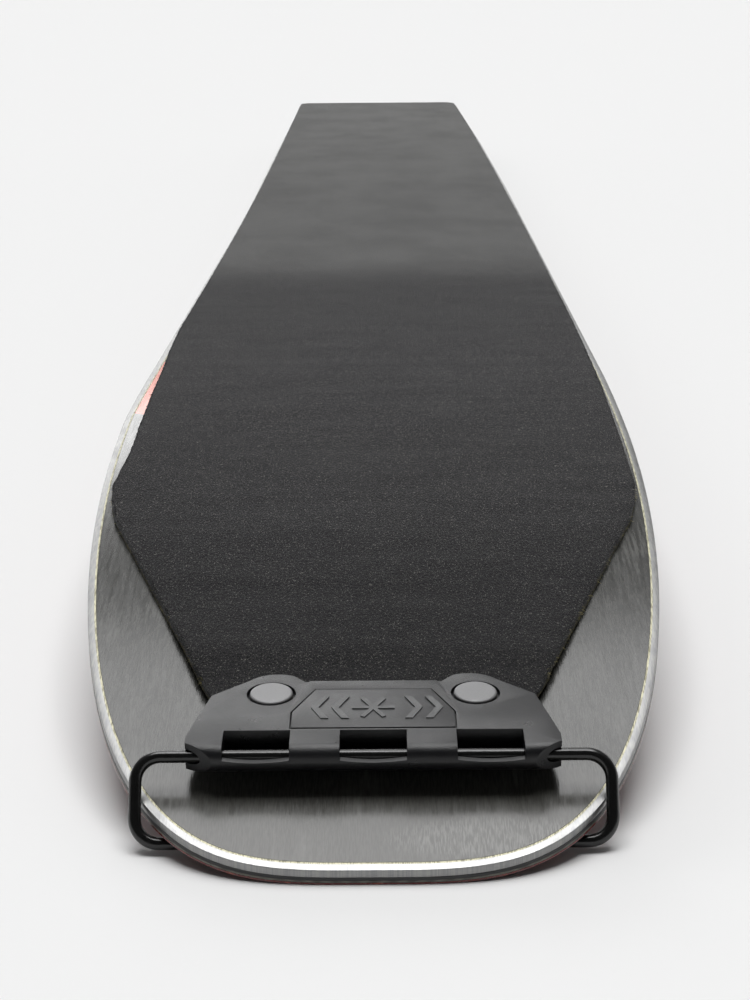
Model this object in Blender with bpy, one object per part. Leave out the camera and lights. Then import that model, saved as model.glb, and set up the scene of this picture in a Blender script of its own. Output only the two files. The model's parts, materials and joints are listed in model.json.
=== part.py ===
"""One half of a splitboard in ski mode, lying base up, with its climbing skin.

Lengths are metres and +Z is up. The nose points to -Y, the tail to +Y, and the inner
edge, where the other half would join, is at +X. The origin is on the floor under the
middle of the whole object. Plan functions take s, the distance from the nose tip.
"""
import math

import bmesh
import bpy
from mathutils import Matrix, Vector

# Board outline in plan
BOARD_LENGTH = 1.580
NOSE_LENGTH = 0.207
NOSE_HALF_WIDTH = 0.074
NOSE_FULLNESS = 2.69
NOSE_BLUNTNESS = 3.48
WAIST_AT = 0.760
TAIL_AT = 1.395
SIDECUT = 0.009
TAIL_FLARE = 0.004

# Board profile, base side
NOSE_CREST = 0.257
NOSE_DROP = 0.0397
TAIL_CREST = 1.400
TAIL_DROP = 0.0414
TIP_EXPONENT = 2.17
ROCKER = 0.005
TIP_THICKNESS = 0.0032
BODY_THICKNESS = 0.0080
TAPER_START = 0.150
TAPER_LENGTH = 0.340

# Laminate, as depths below the base surface or up from the topsheet's face
EDGE_WIDTH = 0.0020
EDGE_DEPTH = 0.0016
BASE_SHEET_DEPTH = 0.0011
LOWER_LAMINATE_DEPTH = 0.0016
TOPSHEET_THICKNESS = 0.0004
UPPER_LAMINATE_THICKNESS = 0.0004
SIDEWALL_WIDTH = 0.007
CORE_START = 0.215
CORE_END = 1.400
FIT = 0.00005
GAP = 0.0003

# Skin
SKIN_HALF_WIDTH = 0.0702
SKIN_EDGE_MARGIN = 0.0015
SKIN_CORNER_AT = 0.146
SKIN_TAPER_AT = 1.405
SKIN_NOSE_CUT = ((0.0300, 0.0365), (0.0375, 0.0500), (0.0664, 0.1255), (0.0690, 0.1360))
SKIN_TAIL_CUT = ((0.0580, 1.4700), (0.0400, 1.5150), (0.0260, 1.5370))
BACKING_THICKNESS = 0.0006
PILE_THICKNESS = 0.0017
PILE_CLAMPED = 0.0010
CLAMP_LIFT = 0.0015
CLAMP_THICKNESS = 0.0011

# Tip connector and bail, in the connector's own frame: the wire's axis is its origin
WIRE_RADIUS = 0.00135
BAIL_AT = 0.0226
BAIL_LIFT = 0.00705
BAIL_HALF_WIDTH = 0.0496
BAIL_FORWARD = 0.0084
BAIL_DOWN = 0.01575
BAIL_CORNER = 0.0052
CONNECTOR_PITCH = math.radians(6.75)
BARREL_RADIUS = 0.0031
WINDOW_HALF_WIDTH = 0.0070
WINDOW_PITCH = 0.0245
RIVET_X = 0.0223
RIVET_Y = 0.0214
RIVET_HEAD_RADIUS = 0.0047
RIVET_SEAT = 0.0020
RIVET_BORE = 0.0019
EMBLEM_FLOOR = 0.0026
EAR_CREASE_Y = 0.0115
EAR_SLOPE = math.radians(1.0)

# Tail attachment of the skin
BUCKLE_AT = 1.515
BUCKLE_LIFT = 0.0021
BUCKLE_HALF_LENGTH = 0.014
BUCKLE_PLATE = 0.0014
BUCKLE_RIVET_X = 0.0190
CAM_HEIGHT = 0.0068
CAM_RADIUS = 0.0030
CAM_PIN_RADIUS = 0.0015
STRAP_HALF_WIDTH = 0.0110
STRAP_THICKNESS = 0.0015
STRAP_OVER_PLATE = 0.0006
STRAP_OVER_BASE = 0.0004
STRAP_RAMP = 0.024
HOOK_PIN_AT = 1.5670
HOOK_TOOTH = 0.0026
HOOK_PIN_RADIUS = 0.0012
HOOK_HALF_WIDTH = 0.0130
CHEEK_WIDTH = 0.0050

# Swivel clips that join the two halves, and threaded inserts, on the topsheet side
CLIP_STATIONS = (0.300, 0.520, 1.080, 1.300)
CLIP_INSET = 0.013
INSERT_RADIUS = 0.0042
INSERT_DEPTH = 0.0040
THREAD_RADIUS = 0.0025
INSERT_STATIONS = (0.640, 0.680, 0.780, 0.960, 1.000)
INSERT_X = (0.012, 0.050)
BORE_CLEARANCE = 0.0002
CLIP_SCREW_OFFSET = (-0.0020, -0.0145)
CLIP_SCREW_BORE = 0.0022
CLIP_SCREW_DEPTH = 0.0024

# Stations between which every laminate is straight
NOSE_STATIONS = (0.006, 0.013, 0.021, 0.030, 0.0375, 0.046, 0.054, 0.064, 0.076, 0.090,
                 0.107, 0.126, 0.146, 0.168, 0.190, 0.215, 0.240, 0.275, 0.330)
BODY_STATIONS = (0.420, 0.540, 0.700, 0.880, 1.060, 1.220, 1.330)
TAIL_STATIONS = (1.400, 1.425, 1.444, 1.462, 1.480, 1.498, 1.515, 1.530, 1.544, 1.556,
                 1.567)

FRONT = -0.7916

STATIONS = (0.0,) + NOSE_STATIONS + BODY_STATIONS + TAIL_STATIONS + (BOARD_LENGTH,)

BLACK_PLASTIC = ("black_plastic", (0.030, 0.032, 0.034), 0.55, 0.0)
STEEL = ("steel", (0.62, 0.64, 0.67), 0.28, 1.0)
BLACK_STEEL = ("black_steel", (0.02, 0.02, 0.02), 0.25, 0.9)
BASE_BLACK = ("sintered_base", (0.10, 0.10, 0.10), 0.32, 0.0)
PLUSH = ("plush", (0.018, 0.018, 0.019), 0.95, 0.0)
BACKING = ("skin_backing", (0.05, 0.045, 0.03), 0.85, 0.0)
GLASS_FIBRE = ("glass_laminate", (0.45, 0.47, 0.38), 0.5, 0.0)
POPLAR = ("poplar", (0.62, 0.45, 0.27), 0.6, 0.0)
SIDEWALL = ("sidewall_abs", (0.045, 0.045, 0.05), 0.45, 0.0)
TOPSHEET = ("topsheet", (0.40, 0.045, 0.035), 0.30, 0.0)
RIVET_GREY = ("rivet_grey", (0.26, 0.26, 0.27), 0.45, 0.6)
EMBLEM_GREY = ("emblem_grey", (0.085, 0.088, 0.09), 0.5, 0.0)
ALUMINIUM = ("anodised_aluminium", (0.05, 0.05, 0.055), 0.35, 0.9)
WEBBING = ("strap_rubber", (0.02, 0.02, 0.02), 0.7, 0.0)


def clear_scene():
    for item in list(bpy.data.objects):
        bpy.data.objects.remove(item, do_unlink=True)


def new_collection(name):
    collection = bpy.data.collections.new(name)
    bpy.context.scene.collection.children.link(collection)
    return collection


def principled(spec):
    name, colour, roughness, metallic = spec
    found = bpy.data.materials.get(name)
    if found:
        return found
    material = bpy.data.materials.new(name)
    material.use_nodes = True
    shader = material.node_tree.nodes["Principled BSDF"]
    shader.inputs["Base Color"].default_value = (*colour, 1.0)
    shader.inputs["Roughness"].default_value = roughness
    shader.inputs["Metallic"].default_value = metallic
    return material


clear_scene()
PARTS = new_collection("splitboard")
CUTTERS = new_collection("cutters")


# ---------------------------------------------------------------- plan and profile

def nose_edge(s):
    reach = max(0.0, (NOSE_LENGTH - s) / NOSE_LENGTH)
    return NOSE_HALF_WIDTH * max(0.0, 1 - reach ** NOSE_FULLNESS) ** (1 / NOSE_BLUNTNESS)


def body_edge(s, side):
    if side > 0:
        return NOSE_HALF_WIDTH
    if s < WAIST_AT:
        run = (s - NOSE_LENGTH) / (WAIST_AT - NOSE_LENGTH)
        return NOSE_HALF_WIDTH - SIDECUT * (1 - (1 - run) ** 2)
    run = (s - WAIST_AT) / (TAIL_AT - WAIST_AT)
    return NOSE_HALF_WIDTH - SIDECUT + TAIL_FLARE * run ** 2


def edge_x(s, side):
    """The board edge's X at s, on the inner side (+1) or the outer side (-1)."""
    if s <= NOSE_LENGTH:
        return side * nose_edge(s)
    if s <= TAIL_AT:
        return side * body_edge(s, side)
    inner = body_edge(TAIL_AT, 1)
    outer = -body_edge(TAIL_AT, -1)
    reach = min(1.0, (s - TAIL_AT) / (BOARD_LENGTH - TAIL_AT))
    half = (inner - outer) / 2 * (1 - reach ** NOSE_FULLNESS) ** (1 / NOSE_BLUNTNESS)
    return (inner + outer) / 2 + side * half


def smooth_profile(s):
    middle = (NOSE_CREST + TAIL_CREST) / 2
    half = (TAIL_CREST - NOSE_CREST) / 2
    nose = max(0.0, (NOSE_CREST - s) / NOSE_CREST)
    tail = max(0.0, (s - TAIL_CREST) / (BOARD_LENGTH - TAIL_CREST))
    bow = ROCKER * ((s - middle) / half) ** 2
    return -bow - NOSE_DROP * nose ** TIP_EXPONENT - TAIL_DROP * tail ** TIP_EXPONENT


def smooth_step(value):
    value = min(1.0, max(0.0, value))
    return value * value * (3 - 2 * value)


def smooth_thickness(s):
    from_end = min(s, BOARD_LENGTH - s)
    grown = smooth_step((from_end - TAPER_START) / TAPER_LENGTH)
    return TIP_THICKNESS + (BODY_THICKNESS - TIP_THICKNESS) * grown


def stepped(function, s):
    """A function of s, made straight between the stations."""
    for low, high in zip(STATIONS, STATIONS[1:]):
        if s <= high:
            part = (s - low) / (high - low)
            return function(low) * (1 - part) + function(high) * part
    return function(STATIONS[-1])


FLOOR = min(smooth_profile(s) - smooth_thickness(s) for s in STATIONS)


def base_z(s):
    """Height of the base surface over the floor."""
    return stepped(smooth_profile, s) - FLOOR


def thickness(s):
    return stepped(smooth_thickness, s)


def board_outline():
    """Plan points of the board's edge, anticlockwise from the nose tip."""
    nose_arc = [NOSE_LENGTH * (1 - math.cos(a) ** (2 / NOSE_FULLNESS))
                for a in (math.radians(d) for d in (3, 9, 15, 21, 28, 36, 44, 52, 61, 71, 81))]
    tail_run = BOARD_LENGTH - TAIL_AT
    tail_arc = [TAIL_AT + tail_run * math.cos(a) ** (2 / NOSE_FULLNESS)
                for a in (math.radians(d) for d in (80, 68, 57, 47, 38, 29, 21, 14, 8, 3))]
    body = [NOSE_LENGTH, 0.240, 0.275, *BODY_STATIONS, TAIL_AT]
    along = nose_arc + body + tail_arc
    inner = [(edge_x(s, 1), s) for s in along]
    outer = [(edge_x(s, -1), s) for s in reversed(along)]
    tail_middle = (body_edge(TAIL_AT, 1) - body_edge(TAIL_AT, -1)) / 2
    return [(0.0, 0.0)] + inner + [(tail_middle, BOARD_LENGTH)] + outer


def inset_outline(points, distance):
    """The outline moved inwards; its points run anticlockwise."""
    moved = []
    count = len(points)
    for index in range(count):
        before = Vector(points[index - 1])
        here = Vector(points[index])
        after = Vector(points[(index + 1) % count])
        first = (here - before).normalized()
        second = (after - here).normalized()
        normal_a = Vector((-first.y, first.x))
        normal_b = Vector((-second.y, second.x))
        bisector = (normal_a + normal_b).normalized()
        reach = distance / max(0.5, bisector.dot(normal_a))
        moved.append(tuple(here + bisector * reach))
    return moved


def side_strip(side, start, end, first_inset, second_inset):
    """Plan points of a strip along one edge, between two insets."""
    along = [s for s in STATIONS if start < s < end]
    along = [start] + along + [end]
    outside = [(edge_x(s, side) - side * first_inset, s) for s in along]
    inside = [(edge_x(s, side) - side * second_inset, s) for s in reversed(along)]
    return outside + inside


# ---------------------------------------------------------------- object helpers

def add_part(name, bm, spec, smooth=False):
    bmesh.ops.recalc_face_normals(bm, faces=bm.faces[:])
    mesh = bpy.data.meshes.new(name)
    bm.to_mesh(mesh)
    bm.free()
    mesh.materials.append(principled(spec))
    part = bpy.data.objects.new(name, mesh)
    PARTS.objects.link(part)
    if smooth:
        mesh.shade_smooth()
        mesh.set_sharp_from_angle(angle=math.radians(35))
    return part


def add_cutter(name, bm):
    bmesh.ops.recalc_face_normals(bm, faces=bm.faces[:])
    mesh = bpy.data.meshes.new(name)
    bm.to_mesh(mesh)
    bm.free()
    cutter = bpy.data.objects.new(name, mesh)
    cutter.hide_render = True
    cutter.display_type = "WIRE"
    CUTTERS.objects.link(cutter)
    return cutter


def cut(part, cutter, operation="DIFFERENCE"):
    boolean = part.modifiers.new(operation.lower(), "BOOLEAN")
    boolean.operation = operation
    boolean.object = cutter


def prism(outline, low, high):
    """A plan outline in x and y, from one height to another."""
    bm = bmesh.new()
    base = bm.faces.new([bm.verts.new((x, y, low)) for x, y in outline])
    raised = bmesh.ops.extrude_face_region(bm, geom=[base])
    for vert in (item for item in raised["geom"] if isinstance(item, bmesh.types.BMVert)):
        vert.co.z = high
    return bm


def side_prism(profile, left, right):
    """A side profile in y and z, from one x to another."""
    bm = bmesh.new()
    base = bm.faces.new([bm.verts.new((left, y, z)) for y, z in profile])
    raised = bmesh.ops.extrude_face_region(bm, geom=[base])
    for vert in (item for item in raised["geom"] if isinstance(item, bmesh.types.BMVert)):
        vert.co.x = right
    return bm


def block(x_range, y_range, z_range):
    bm = bmesh.new()
    size = [high - low for low, high in (x_range, y_range, z_range)]
    centre = [(low + high) / 2 for low, high in (x_range, y_range, z_range)]
    placing = Matrix.Translation(centre) @ Matrix.Diagonal((*size, 1))
    bmesh.ops.create_cube(bm, size=1.0, matrix=placing)
    return bm


def cylinder(radius, low, high, centre=(0.0, 0.0), sides=24, axis="Z"):
    bm = bmesh.new()
    bmesh.ops.create_cone(bm, cap_ends=True, segments=sides, radius1=radius, radius2=radius,
                          depth=high - low, matrix=Matrix.Translation((0, 0, (low + high) / 2)))
    if axis == "X":
        bmesh.ops.rotate(bm, verts=bm.verts[:], matrix=Matrix.Rotation(math.radians(90), 3, "Y"))
        bmesh.ops.translate(bm, verts=bm.verts[:], vec=(0, centre[0], centre[1]))
    else:
        bmesh.ops.translate(bm, verts=bm.verts[:], vec=(centre[0], centre[1], 0))
    return bm


def turned(profile, steps=16):
    """A profile of radius and height, from the top of its axis to the foot, spun round Z."""
    bm = bmesh.new()
    points = [bm.verts.new((radius, 0, z)) for radius, z in profile]
    edges = [bm.edges.new(pair) for pair in zip(points, points[1:])]
    bmesh.ops.spin(bm, geom=points + edges, axis=(0, 0, 1), cent=(0, 0, 0), steps=steps,
                   angle=math.tau, use_duplicate=False)
    bmesh.ops.remove_doubles(bm, verts=bm.verts[:], dist=1e-5)
    return bm


def join(first, second):
    """Adds the second bmesh's separate body to the first, for a cutter."""
    spare = bpy.data.meshes.new("spare")
    second.to_mesh(spare)
    second.free()
    first.from_mesh(spare)
    bpy.data.meshes.remove(spare)
    return first


def to_world(item, s, z, pitch=0.0, x=0.0):
    item.location = (x, s + FRONT, z)
    item.rotation_euler = (pitch, 0, 0)


def frame_empty(name, s, z, pitch=0.0, x=0.0):
    """The frame of a small assembly: its location, turned about X by a pitch."""
    empty = bpy.data.objects.new(name, None)
    PARTS.objects.link(empty)
    to_world(empty, s, z, pitch, x)
    return empty


def base_pitch(s):
    return math.atan2(base_z(s + 0.006) - base_z(s - 0.006), 0.012)


# ---------------------------------------------------------------- laminates

def bent_sheet(outline, top, bottom, hole=None):
    """A sheet of this outline, bent to the board: top and bottom are heights over the
    base surface, as functions of s. A hole is an inner outline with as many points."""
    bm = bmesh.new()
    rim = [bm.verts.new((x, s, 0)) for x, s in outline]
    if hole is None:
        bm.faces.new(rim)
    else:
        inner = [bm.verts.new((x, s, 0)) for x, s in hole]
        loops = []
        for ring in (rim, inner):
            loops += [bm.edges.new((ring[i - 1], ring[i])) for i in range(len(ring))]
        bmesh.ops.bridge_loops(bm, edges=loops)
    lowest = min(s for _, s in outline)
    highest = max(s for _, s in outline)
    for station in STATIONS:
        if lowest < station < highest:
            bmesh.ops.bisect_plane(bm, geom=bm.verts[:] + bm.edges[:] + bm.faces[:], dist=1e-6,
                                   plane_co=(0, station, 0), plane_no=(0, 1, 0))
    under = bm.verts[:]
    raised = bmesh.ops.extrude_face_region(bm, geom=bm.faces[:])
    over = [item for item in raised["geom"] if isinstance(item, bmesh.types.BMVert)]
    for verts, height in ((under, bottom), (over, top)):
        for vert in verts:
            vert.co.z = base_z(vert.co.y) + stepped(height, vert.co.y)
    for vert in bm.verts:
        vert.co.y += FRONT
    return bm


def below_base(depth):
    return lambda s: -depth


def above_topsheet(height):
    return lambda s: height - smooth_thickness(s)


CORE_TOP = LOWER_LAMINATE_DEPTH + FIT
CORE_BOTTOM = TOPSHEET_THICKNESS + UPPER_LAMINATE_THICKNESS + 2 * FIT


def make_base_side(outline):
    ring = inset_outline(outline, EDGE_WIDTH)
    filling = inset_outline(outline, EDGE_WIDTH + FIT)
    edge = bent_sheet(outline, below_base(0), below_base(EDGE_DEPTH), hole=ring)
    add_part("steel_edge", edge, STEEL)
    sheet = bent_sheet(filling, below_base(0), below_base(BASE_SHEET_DEPTH))
    add_part("base_sheet", sheet, BASE_BLACK)
    lower = bent_sheet(filling, below_base(BASE_SHEET_DEPTH + FIT),
                       below_base(LOWER_LAMINATE_DEPTH))
    add_part("lower_laminate", lower, GLASS_FIBRE)


def end_outline(outline, start, end):
    """The part of the board's outline between two stations, closed across."""
    kept = [(x, s) for x, s in outline if start < s < end]
    if start <= 0:
        inner = [p for p in kept if p[0] >= 0 and p[1] < end]
        outer = [p for p in kept if p[0] < 0]
        return [(0.0, 0.0)] + inner + [(edge_x(end, 1), end), (edge_x(end, -1), end)] + outer
    return [(edge_x(start, -1), start), (edge_x(start, 1), start)] + kept


def make_core(outline, bores):
    top = below_base(CORE_TOP)
    bottom = above_topsheet(CORE_BOTTOM)
    start = CORE_START + FIT
    end = CORE_END - FIT
    along = [start] + [s for s in STATIONS if start < s < end] + [end]
    lane = SIDEWALL_WIDTH + FIT
    plank = [(edge_x(s, 1) - lane, s) for s in along]
    plank += [(edge_x(s, -1) + lane, s) for s in reversed(along)]
    core = add_part("wood_core", bent_sheet(plank, top, bottom), POPLAR)
    cut(core, bores)
    for name, side in (("sidewall_inner", 1), ("sidewall_outer", -1)):
        strip = side_strip(side, start, end, 0, SIDEWALL_WIDTH)
        add_part(name, bent_sheet(strip, top, bottom), SIDEWALL)
    nose = end_outline(outline, 0, CORE_START)
    add_part("nose_spacer", bent_sheet(nose, top, bottom), SIDEWALL)
    tail = end_outline(outline, CORE_END, BOARD_LENGTH + 1)
    add_part("tail_spacer", bent_sheet(tail, top, bottom), SIDEWALL)


def make_topside(outline, bores):
    laminate = bent_sheet(outline, above_topsheet(CORE_BOTTOM - FIT),
                          above_topsheet(TOPSHEET_THICKNESS + FIT))
    upper = add_part("upper_laminate", laminate, GLASS_FIBRE)
    cut(upper, bores)
    sheet = bent_sheet(outline, above_topsheet(TOPSHEET_THICKNESS), above_topsheet(0))
    topsheet = add_part("topsheet", sheet, TOPSHEET)
    cut(topsheet, bores)


# ---------------------------------------------------------------- topsheet hardware

def insert_places():
    return [(x, s) for s in INSERT_STATIONS for x in INSERT_X]


def clip_screw_places():
    places = []
    for s in CLIP_STATIONS:
        x = edge_x(s, 1) - CLIP_INSET
        places += [(x, s), (x + CLIP_SCREW_OFFSET[0], s + CLIP_SCREW_OFFSET[1])]
    return places


def topsheet_z(s):
    return base_z(s) - thickness(s)


def topsheet_pitch(s):
    return math.atan2(topsheet_z(s + 0.01) - topsheet_z(s - 0.01), 0.02)


def bore_cutter():
    """The holes that the inserts and clip screws take in the topsheet side."""
    bores = bmesh.new()
    for x, s in insert_places():
        z = topsheet_z(s)
        bore = cylinder(INSERT_RADIUS + BORE_CLEARANCE, z - BODY_THICKNESS,
                        z + INSERT_DEPTH + BORE_CLEARANCE, (x, s + FRONT), sides=12)
        bores = join(bores, bore)
    for x, s in clip_screw_places():
        z = topsheet_z(s)
        bore = cylinder(CLIP_SCREW_BORE, z - BODY_THICKNESS, z + CLIP_SCREW_DEPTH,
                        (x, s + FRONT), sides=12)
        bores = join(bores, bore)
    return add_cutter("topsheet_bores", bores)


def make_insert(index, x, s):
    z = topsheet_z(s)
    name = "threaded_insert_%02d" % (index + 1)
    body = cylinder(INSERT_RADIUS, z + 0.0001, z + INSERT_DEPTH, (x, s + FRONT), sides=12)
    insert = add_part(name, body, STEEL)
    thread = cylinder(THREAD_RADIUS, z - BODY_THICKNESS, z + INSERT_DEPTH - 0.0008,
                      (x, s + FRONT), sides=12)
    cut(insert, add_cutter(name + "_thread", thread))


def make_clip(index, s):
    """A swivel clip: a fixed plate, a hook lever on its pivot screw, and a fixing screw.
    Its frame is on the topsheet, and its pieces hang below."""
    name = "clip_%d" % (index + 1)
    x = edge_x(s, 1) - CLIP_INSET
    frame = frame_empty(name + "_frame", s, topsheet_z(s), topsheet_pitch(s), x)
    plate_outline = [(-0.009, -0.019), (0.007, -0.019), (0.010, -0.012), (0.010, 0.007),
                     (0.006, 0.011), (-0.006, 0.011), (-0.011, 0.006), (-0.011, -0.014)]
    plate = add_part(name + "_plate", prism(plate_outline, -0.0018, -0.0002), ALUMINIUM)
    lever_outline = [(-0.0058, -0.0030), (-0.0030, -0.0058), (0.0030, -0.0058),
                     (0.0058, -0.0030), (0.0052, 0.0200), (0.0052, 0.0330), (-0.0060, 0.0330),
                     (-0.0075, 0.0300), (-0.0075, 0.0250), (-0.0010, 0.0262), (-0.0010, 0.0222),
                     (-0.0052, 0.0205)]
    lever = add_part(name + "_lever", prism(lever_outline, -0.0043, -0.0021), BLACK_STEEL)
    pivot_bore = add_cutter(name + "_pivot_bore", cylinder(0.0023, -0.008, 0.003, sides=16))
    side_bore = cylinder(CLIP_SCREW_BORE, -0.008, 0.003, CLIP_SCREW_OFFSET, sides=16)
    screw_bore = add_cutter(name + "_screw_bore", side_bore)
    cut(plate, pivot_bore)
    cut(plate, screw_bore)
    cut(lever, pivot_bore)
    pivot_screw = add_part(name + "_pivot_screw", screw(0.0019, 0.0046, -0.0046), STEEL,
                           smooth=True)
    fixing_screw = add_part(name + "_fixing_screw", screw(0.0018, 0.0036, -0.0021), STEEL,
                            smooth=True)
    fixing_screw.location = (*CLIP_SCREW_OFFSET, 0)
    for item in (plate, lever, pivot_screw, fixing_screw, pivot_bore, screw_bore):
        item.parent = frame


def screw(shank_radius, head_radius, seat):
    """A pan-head screw pointing up into the board, its head's seat at this height."""
    profile = [(0.0, 0.0018), (shank_radius, 0.0018), (shank_radius, seat), (head_radius, seat),
               (head_radius, seat - 0.0008), (head_radius - 0.0008, seat - 0.0013),
               (0.0014, seat - 0.0013), (0.0014, seat - 0.0005), (0.0, seat - 0.0005)]
    return turned(profile)


# ---------------------------------------------------------------- climbing skin

def skin_lift(s):
    """The skin rises off the base where the clamp plate lies under it."""
    return CLAMP_LIFT * (1 - smooth_step((s - 0.054) / 0.036)) + FIT


def backing_top(s):
    return skin_lift(s) + BACKING_THICKNESS


def pile_bottom(s):
    return backing_top(s) + FIT


def pile_top(s):
    grown = smooth_step((s - 0.054) / 0.010)
    tail = smooth_step((s - BUCKLE_AT + 0.033) / 0.019)
    full = PILE_CLAMPED + (PILE_THICKNESS - PILE_CLAMPED) * min(grown, 1 - tail)
    return pile_bottom(s) + full


def skin_half_width(s, side):
    """The inner side stops at the steel edge, the outer side runs onto it."""
    inside_edge = abs(edge_x(s, side)) - EDGE_WIDTH - 0.0001
    if side > 0:
        widened = SKIN_HALF_WIDTH + 0.0015 * smooth_step((s - 0.150) / 0.18)
        return min(widened, inside_edge)
    return min(SKIN_HALF_WIDTH, inside_edge + EDGE_WIDTH - SKIN_EDGE_MARGIN)


def skin_outline():
    between = [s for s in STATIONS if SKIN_CORNER_AT < s < TAIL_CREST]
    along = [SKIN_CORNER_AT, *between, SKIN_TAPER_AT]
    inner = [*SKIN_NOSE_CUT, *[(skin_half_width(s, 1), s) for s in along], *SKIN_TAIL_CUT]
    outer = [*SKIN_NOSE_CUT, *[(skin_half_width(s, -1), s) for s in along], *SKIN_TAIL_CUT]
    return inner + [(-x, s) for x, s in reversed(outer)]


def make_skin(holes):
    backing = bent_sheet(skin_outline(), backing_top, skin_lift)
    pile = bent_sheet(skin_outline(), pile_top, pile_bottom)
    for name, bm, spec in (("skin_backing", backing, BACKING), ("skin_pile", pile, PLUSH)):
        part = add_part(name, bm, spec)
        for hole in holes:
            cut(part, hole)


def mirror_outline(right):
    return right + [(-x, y) for x, y in reversed(right) if x > 1e-9]


def connector_profile():
    """Side profile, in y and z: round at the wire, thin over the skin."""
    angles = [math.radians(degrees) for degrees in range(90, 271, 15)]
    barrel = [(BARREL_RADIUS * math.cos(a), BARREL_RADIUS * math.sin(a)) for a in angles]
    underside = [(0.0110, -BARREL_RADIUS), (0.0118, -0.0011), (0.0310, 0.0021)]
    return barrel + underside + [(0.0310, BARREL_RADIUS)]


def connector_plan():
    return mirror_outline([
        (0.0, -0.006), (0.0290, -0.006), (0.0393, 0.0003), (0.0393, 0.0034), (0.0353, 0.0208),
        (0.0286, 0.0272), (0.0237, 0.0307), (0.0187, 0.0307), (0.0150, 0.0269), (0.0, 0.0269)])


def ear_cut(side):
    """The space over an ear, which slopes down from its crease beside the raised middle."""
    plan = [(0.0187, EAR_CREASE_Y), (0.0420, EAR_CREASE_Y), (0.0420, 0.0340), (0.0128, 0.0340),
            (0.0142, 0.0262)]
    bm = prism([(side * x, y) for x, y in plan], 0.0, 0.010)
    for vert in bm.verts:
        if vert.co.z < 0.005:
            fall = (vert.co.y - EAR_CREASE_Y) * math.tan(EAR_SLOPE)
            vert.co.z = BARREL_RADIUS - fall
    return bm


def window_cutter():
    windows = bmesh.new()
    for x in (-WINDOW_PITCH, 0.0, WINDOW_PITCH):
        sides = (x - WINDOW_HALF_WIDTH, x + WINDOW_HALF_WIDTH)
        windows = join(windows, block(sides, (-0.006, 0.0053), (0.0004, 0.006)))
    return add_cutter("connector_windows", windows)


def relief_cutter():
    """Deepens the windows behind their front lips."""
    relief = bmesh.new()
    for x in (-WINDOW_PITCH, 0.0, WINDOW_PITCH):
        sides = (x - WINDOW_HALF_WIDTH + 0.00002, x + WINDOW_HALF_WIDTH - 0.00002)
        relief = join(relief, block(sides, (-0.0004, 0.0052), (-0.0012, 0.0020)))
    return add_cutter("window_relief", relief)


def make_connector():
    """The moulded tip connector, in a frame on the wire's axis pitched about X."""
    frame = frame_empty("connector_frame", BAIL_AT, base_z(BAIL_AT) + BAIL_LIFT, CONNECTOR_PITCH)
    body = side_prism(connector_profile(), -0.045, 0.045)
    connector = add_part("tip_connector", body, BLACK_PLASTIC)
    shape = add_cutter("connector_plan", prism(connector_plan(), -0.02, 0.02))
    cut(connector, shape, "INTERSECT")
    channel = cylinder(WIRE_RADIUS + GAP, -0.05, 0.05, sides=16, axis="X")
    pocket = prism(emblem_outline(GAP), EMBLEM_FLOOR - GAP, 0.01)
    recess = bmesh.new()
    bores = bmesh.new()
    for x in (-RIVET_X, RIVET_X):
        recess = join(recess, cylinder(0.0054, RIVET_SEAT - GAP, 0.01, (x, RIVET_Y), sides=24))
        bores = join(bores, cylinder(RIVET_BORE, -0.02, 0.02, (x, RIVET_Y), sides=16))
    bore_holes = add_cutter("rivet_bores", bores)
    cutters = (add_cutter("ear_slopes", join(ear_cut(-1), ear_cut(1))), window_cutter(),
               add_cutter("wire_channel", channel), relief_cutter(),
               add_cutter("emblem_pocket", pocket), add_cutter("rivet_recesses", recess),
               bore_holes)
    for cutter in cutters:
        cut(connector, cutter)
    plate = prism(emblem_outline(0), EMBLEM_FLOOR, BARREL_RADIUS + 0.0002)
    emblem = add_part("emblem_plate", plate, EMBLEM_GREY)
    for item in cutters + (connector, shape, emblem):
        item.parent = frame
    for name, x in (("rivet_left", -RIVET_X), ("rivet_right", RIVET_X)):
        make_rivet(name, frame, x, RIVET_Y)
    return bore_holes


def emblem_outline(grow):
    corner = (0.0174 + grow, 0.0128 + grow / 2)
    rear = (0.0126 + grow / 2, 0.0228 + grow)
    front = 0.0062 - grow
    return mirror_outline([(0.0, front), (corner[0], front), corner, rear, (0.0, rear[1])])


def make_rivet(name, frame, x, y):
    """A turned rivet: a low domed head and a shank, about its own Z axis."""
    profile = [(0.0, RIVET_SEAT + 0.0013), (0.0026, RIVET_SEAT + 0.0012),
               (0.0041, RIVET_SEAT + 0.0009), (RIVET_HEAD_RADIUS, RIVET_SEAT + 0.0004),
               (RIVET_HEAD_RADIUS, RIVET_SEAT), (RIVET_BORE - GAP, RIVET_SEAT),
               (RIVET_BORE - GAP, -0.0024), (0.0, -0.0024)]
    rivet = add_part(name, turned(profile, 24), RIVET_GREY, smooth=True)
    rivet.location = (x, y, 0)
    rivet.parent = frame


def make_clamp_plate(holes):
    """The plate under the skin's front end, against the base."""
    outline = [(-0.0270, 0.0375), (0.0270, 0.0375), (0.0290, 0.0460), (0.0250, 0.0520),
               (-0.0250, 0.0520), (-0.0290, 0.0460)]
    sheet = bent_sheet(outline, lambda s: 0.0002 + CLAMP_THICKNESS, lambda s: 0.0002)
    plate = add_part("connector_clamp_plate", sheet, BLACK_PLASTIC)
    cut(plate, holes)


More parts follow.
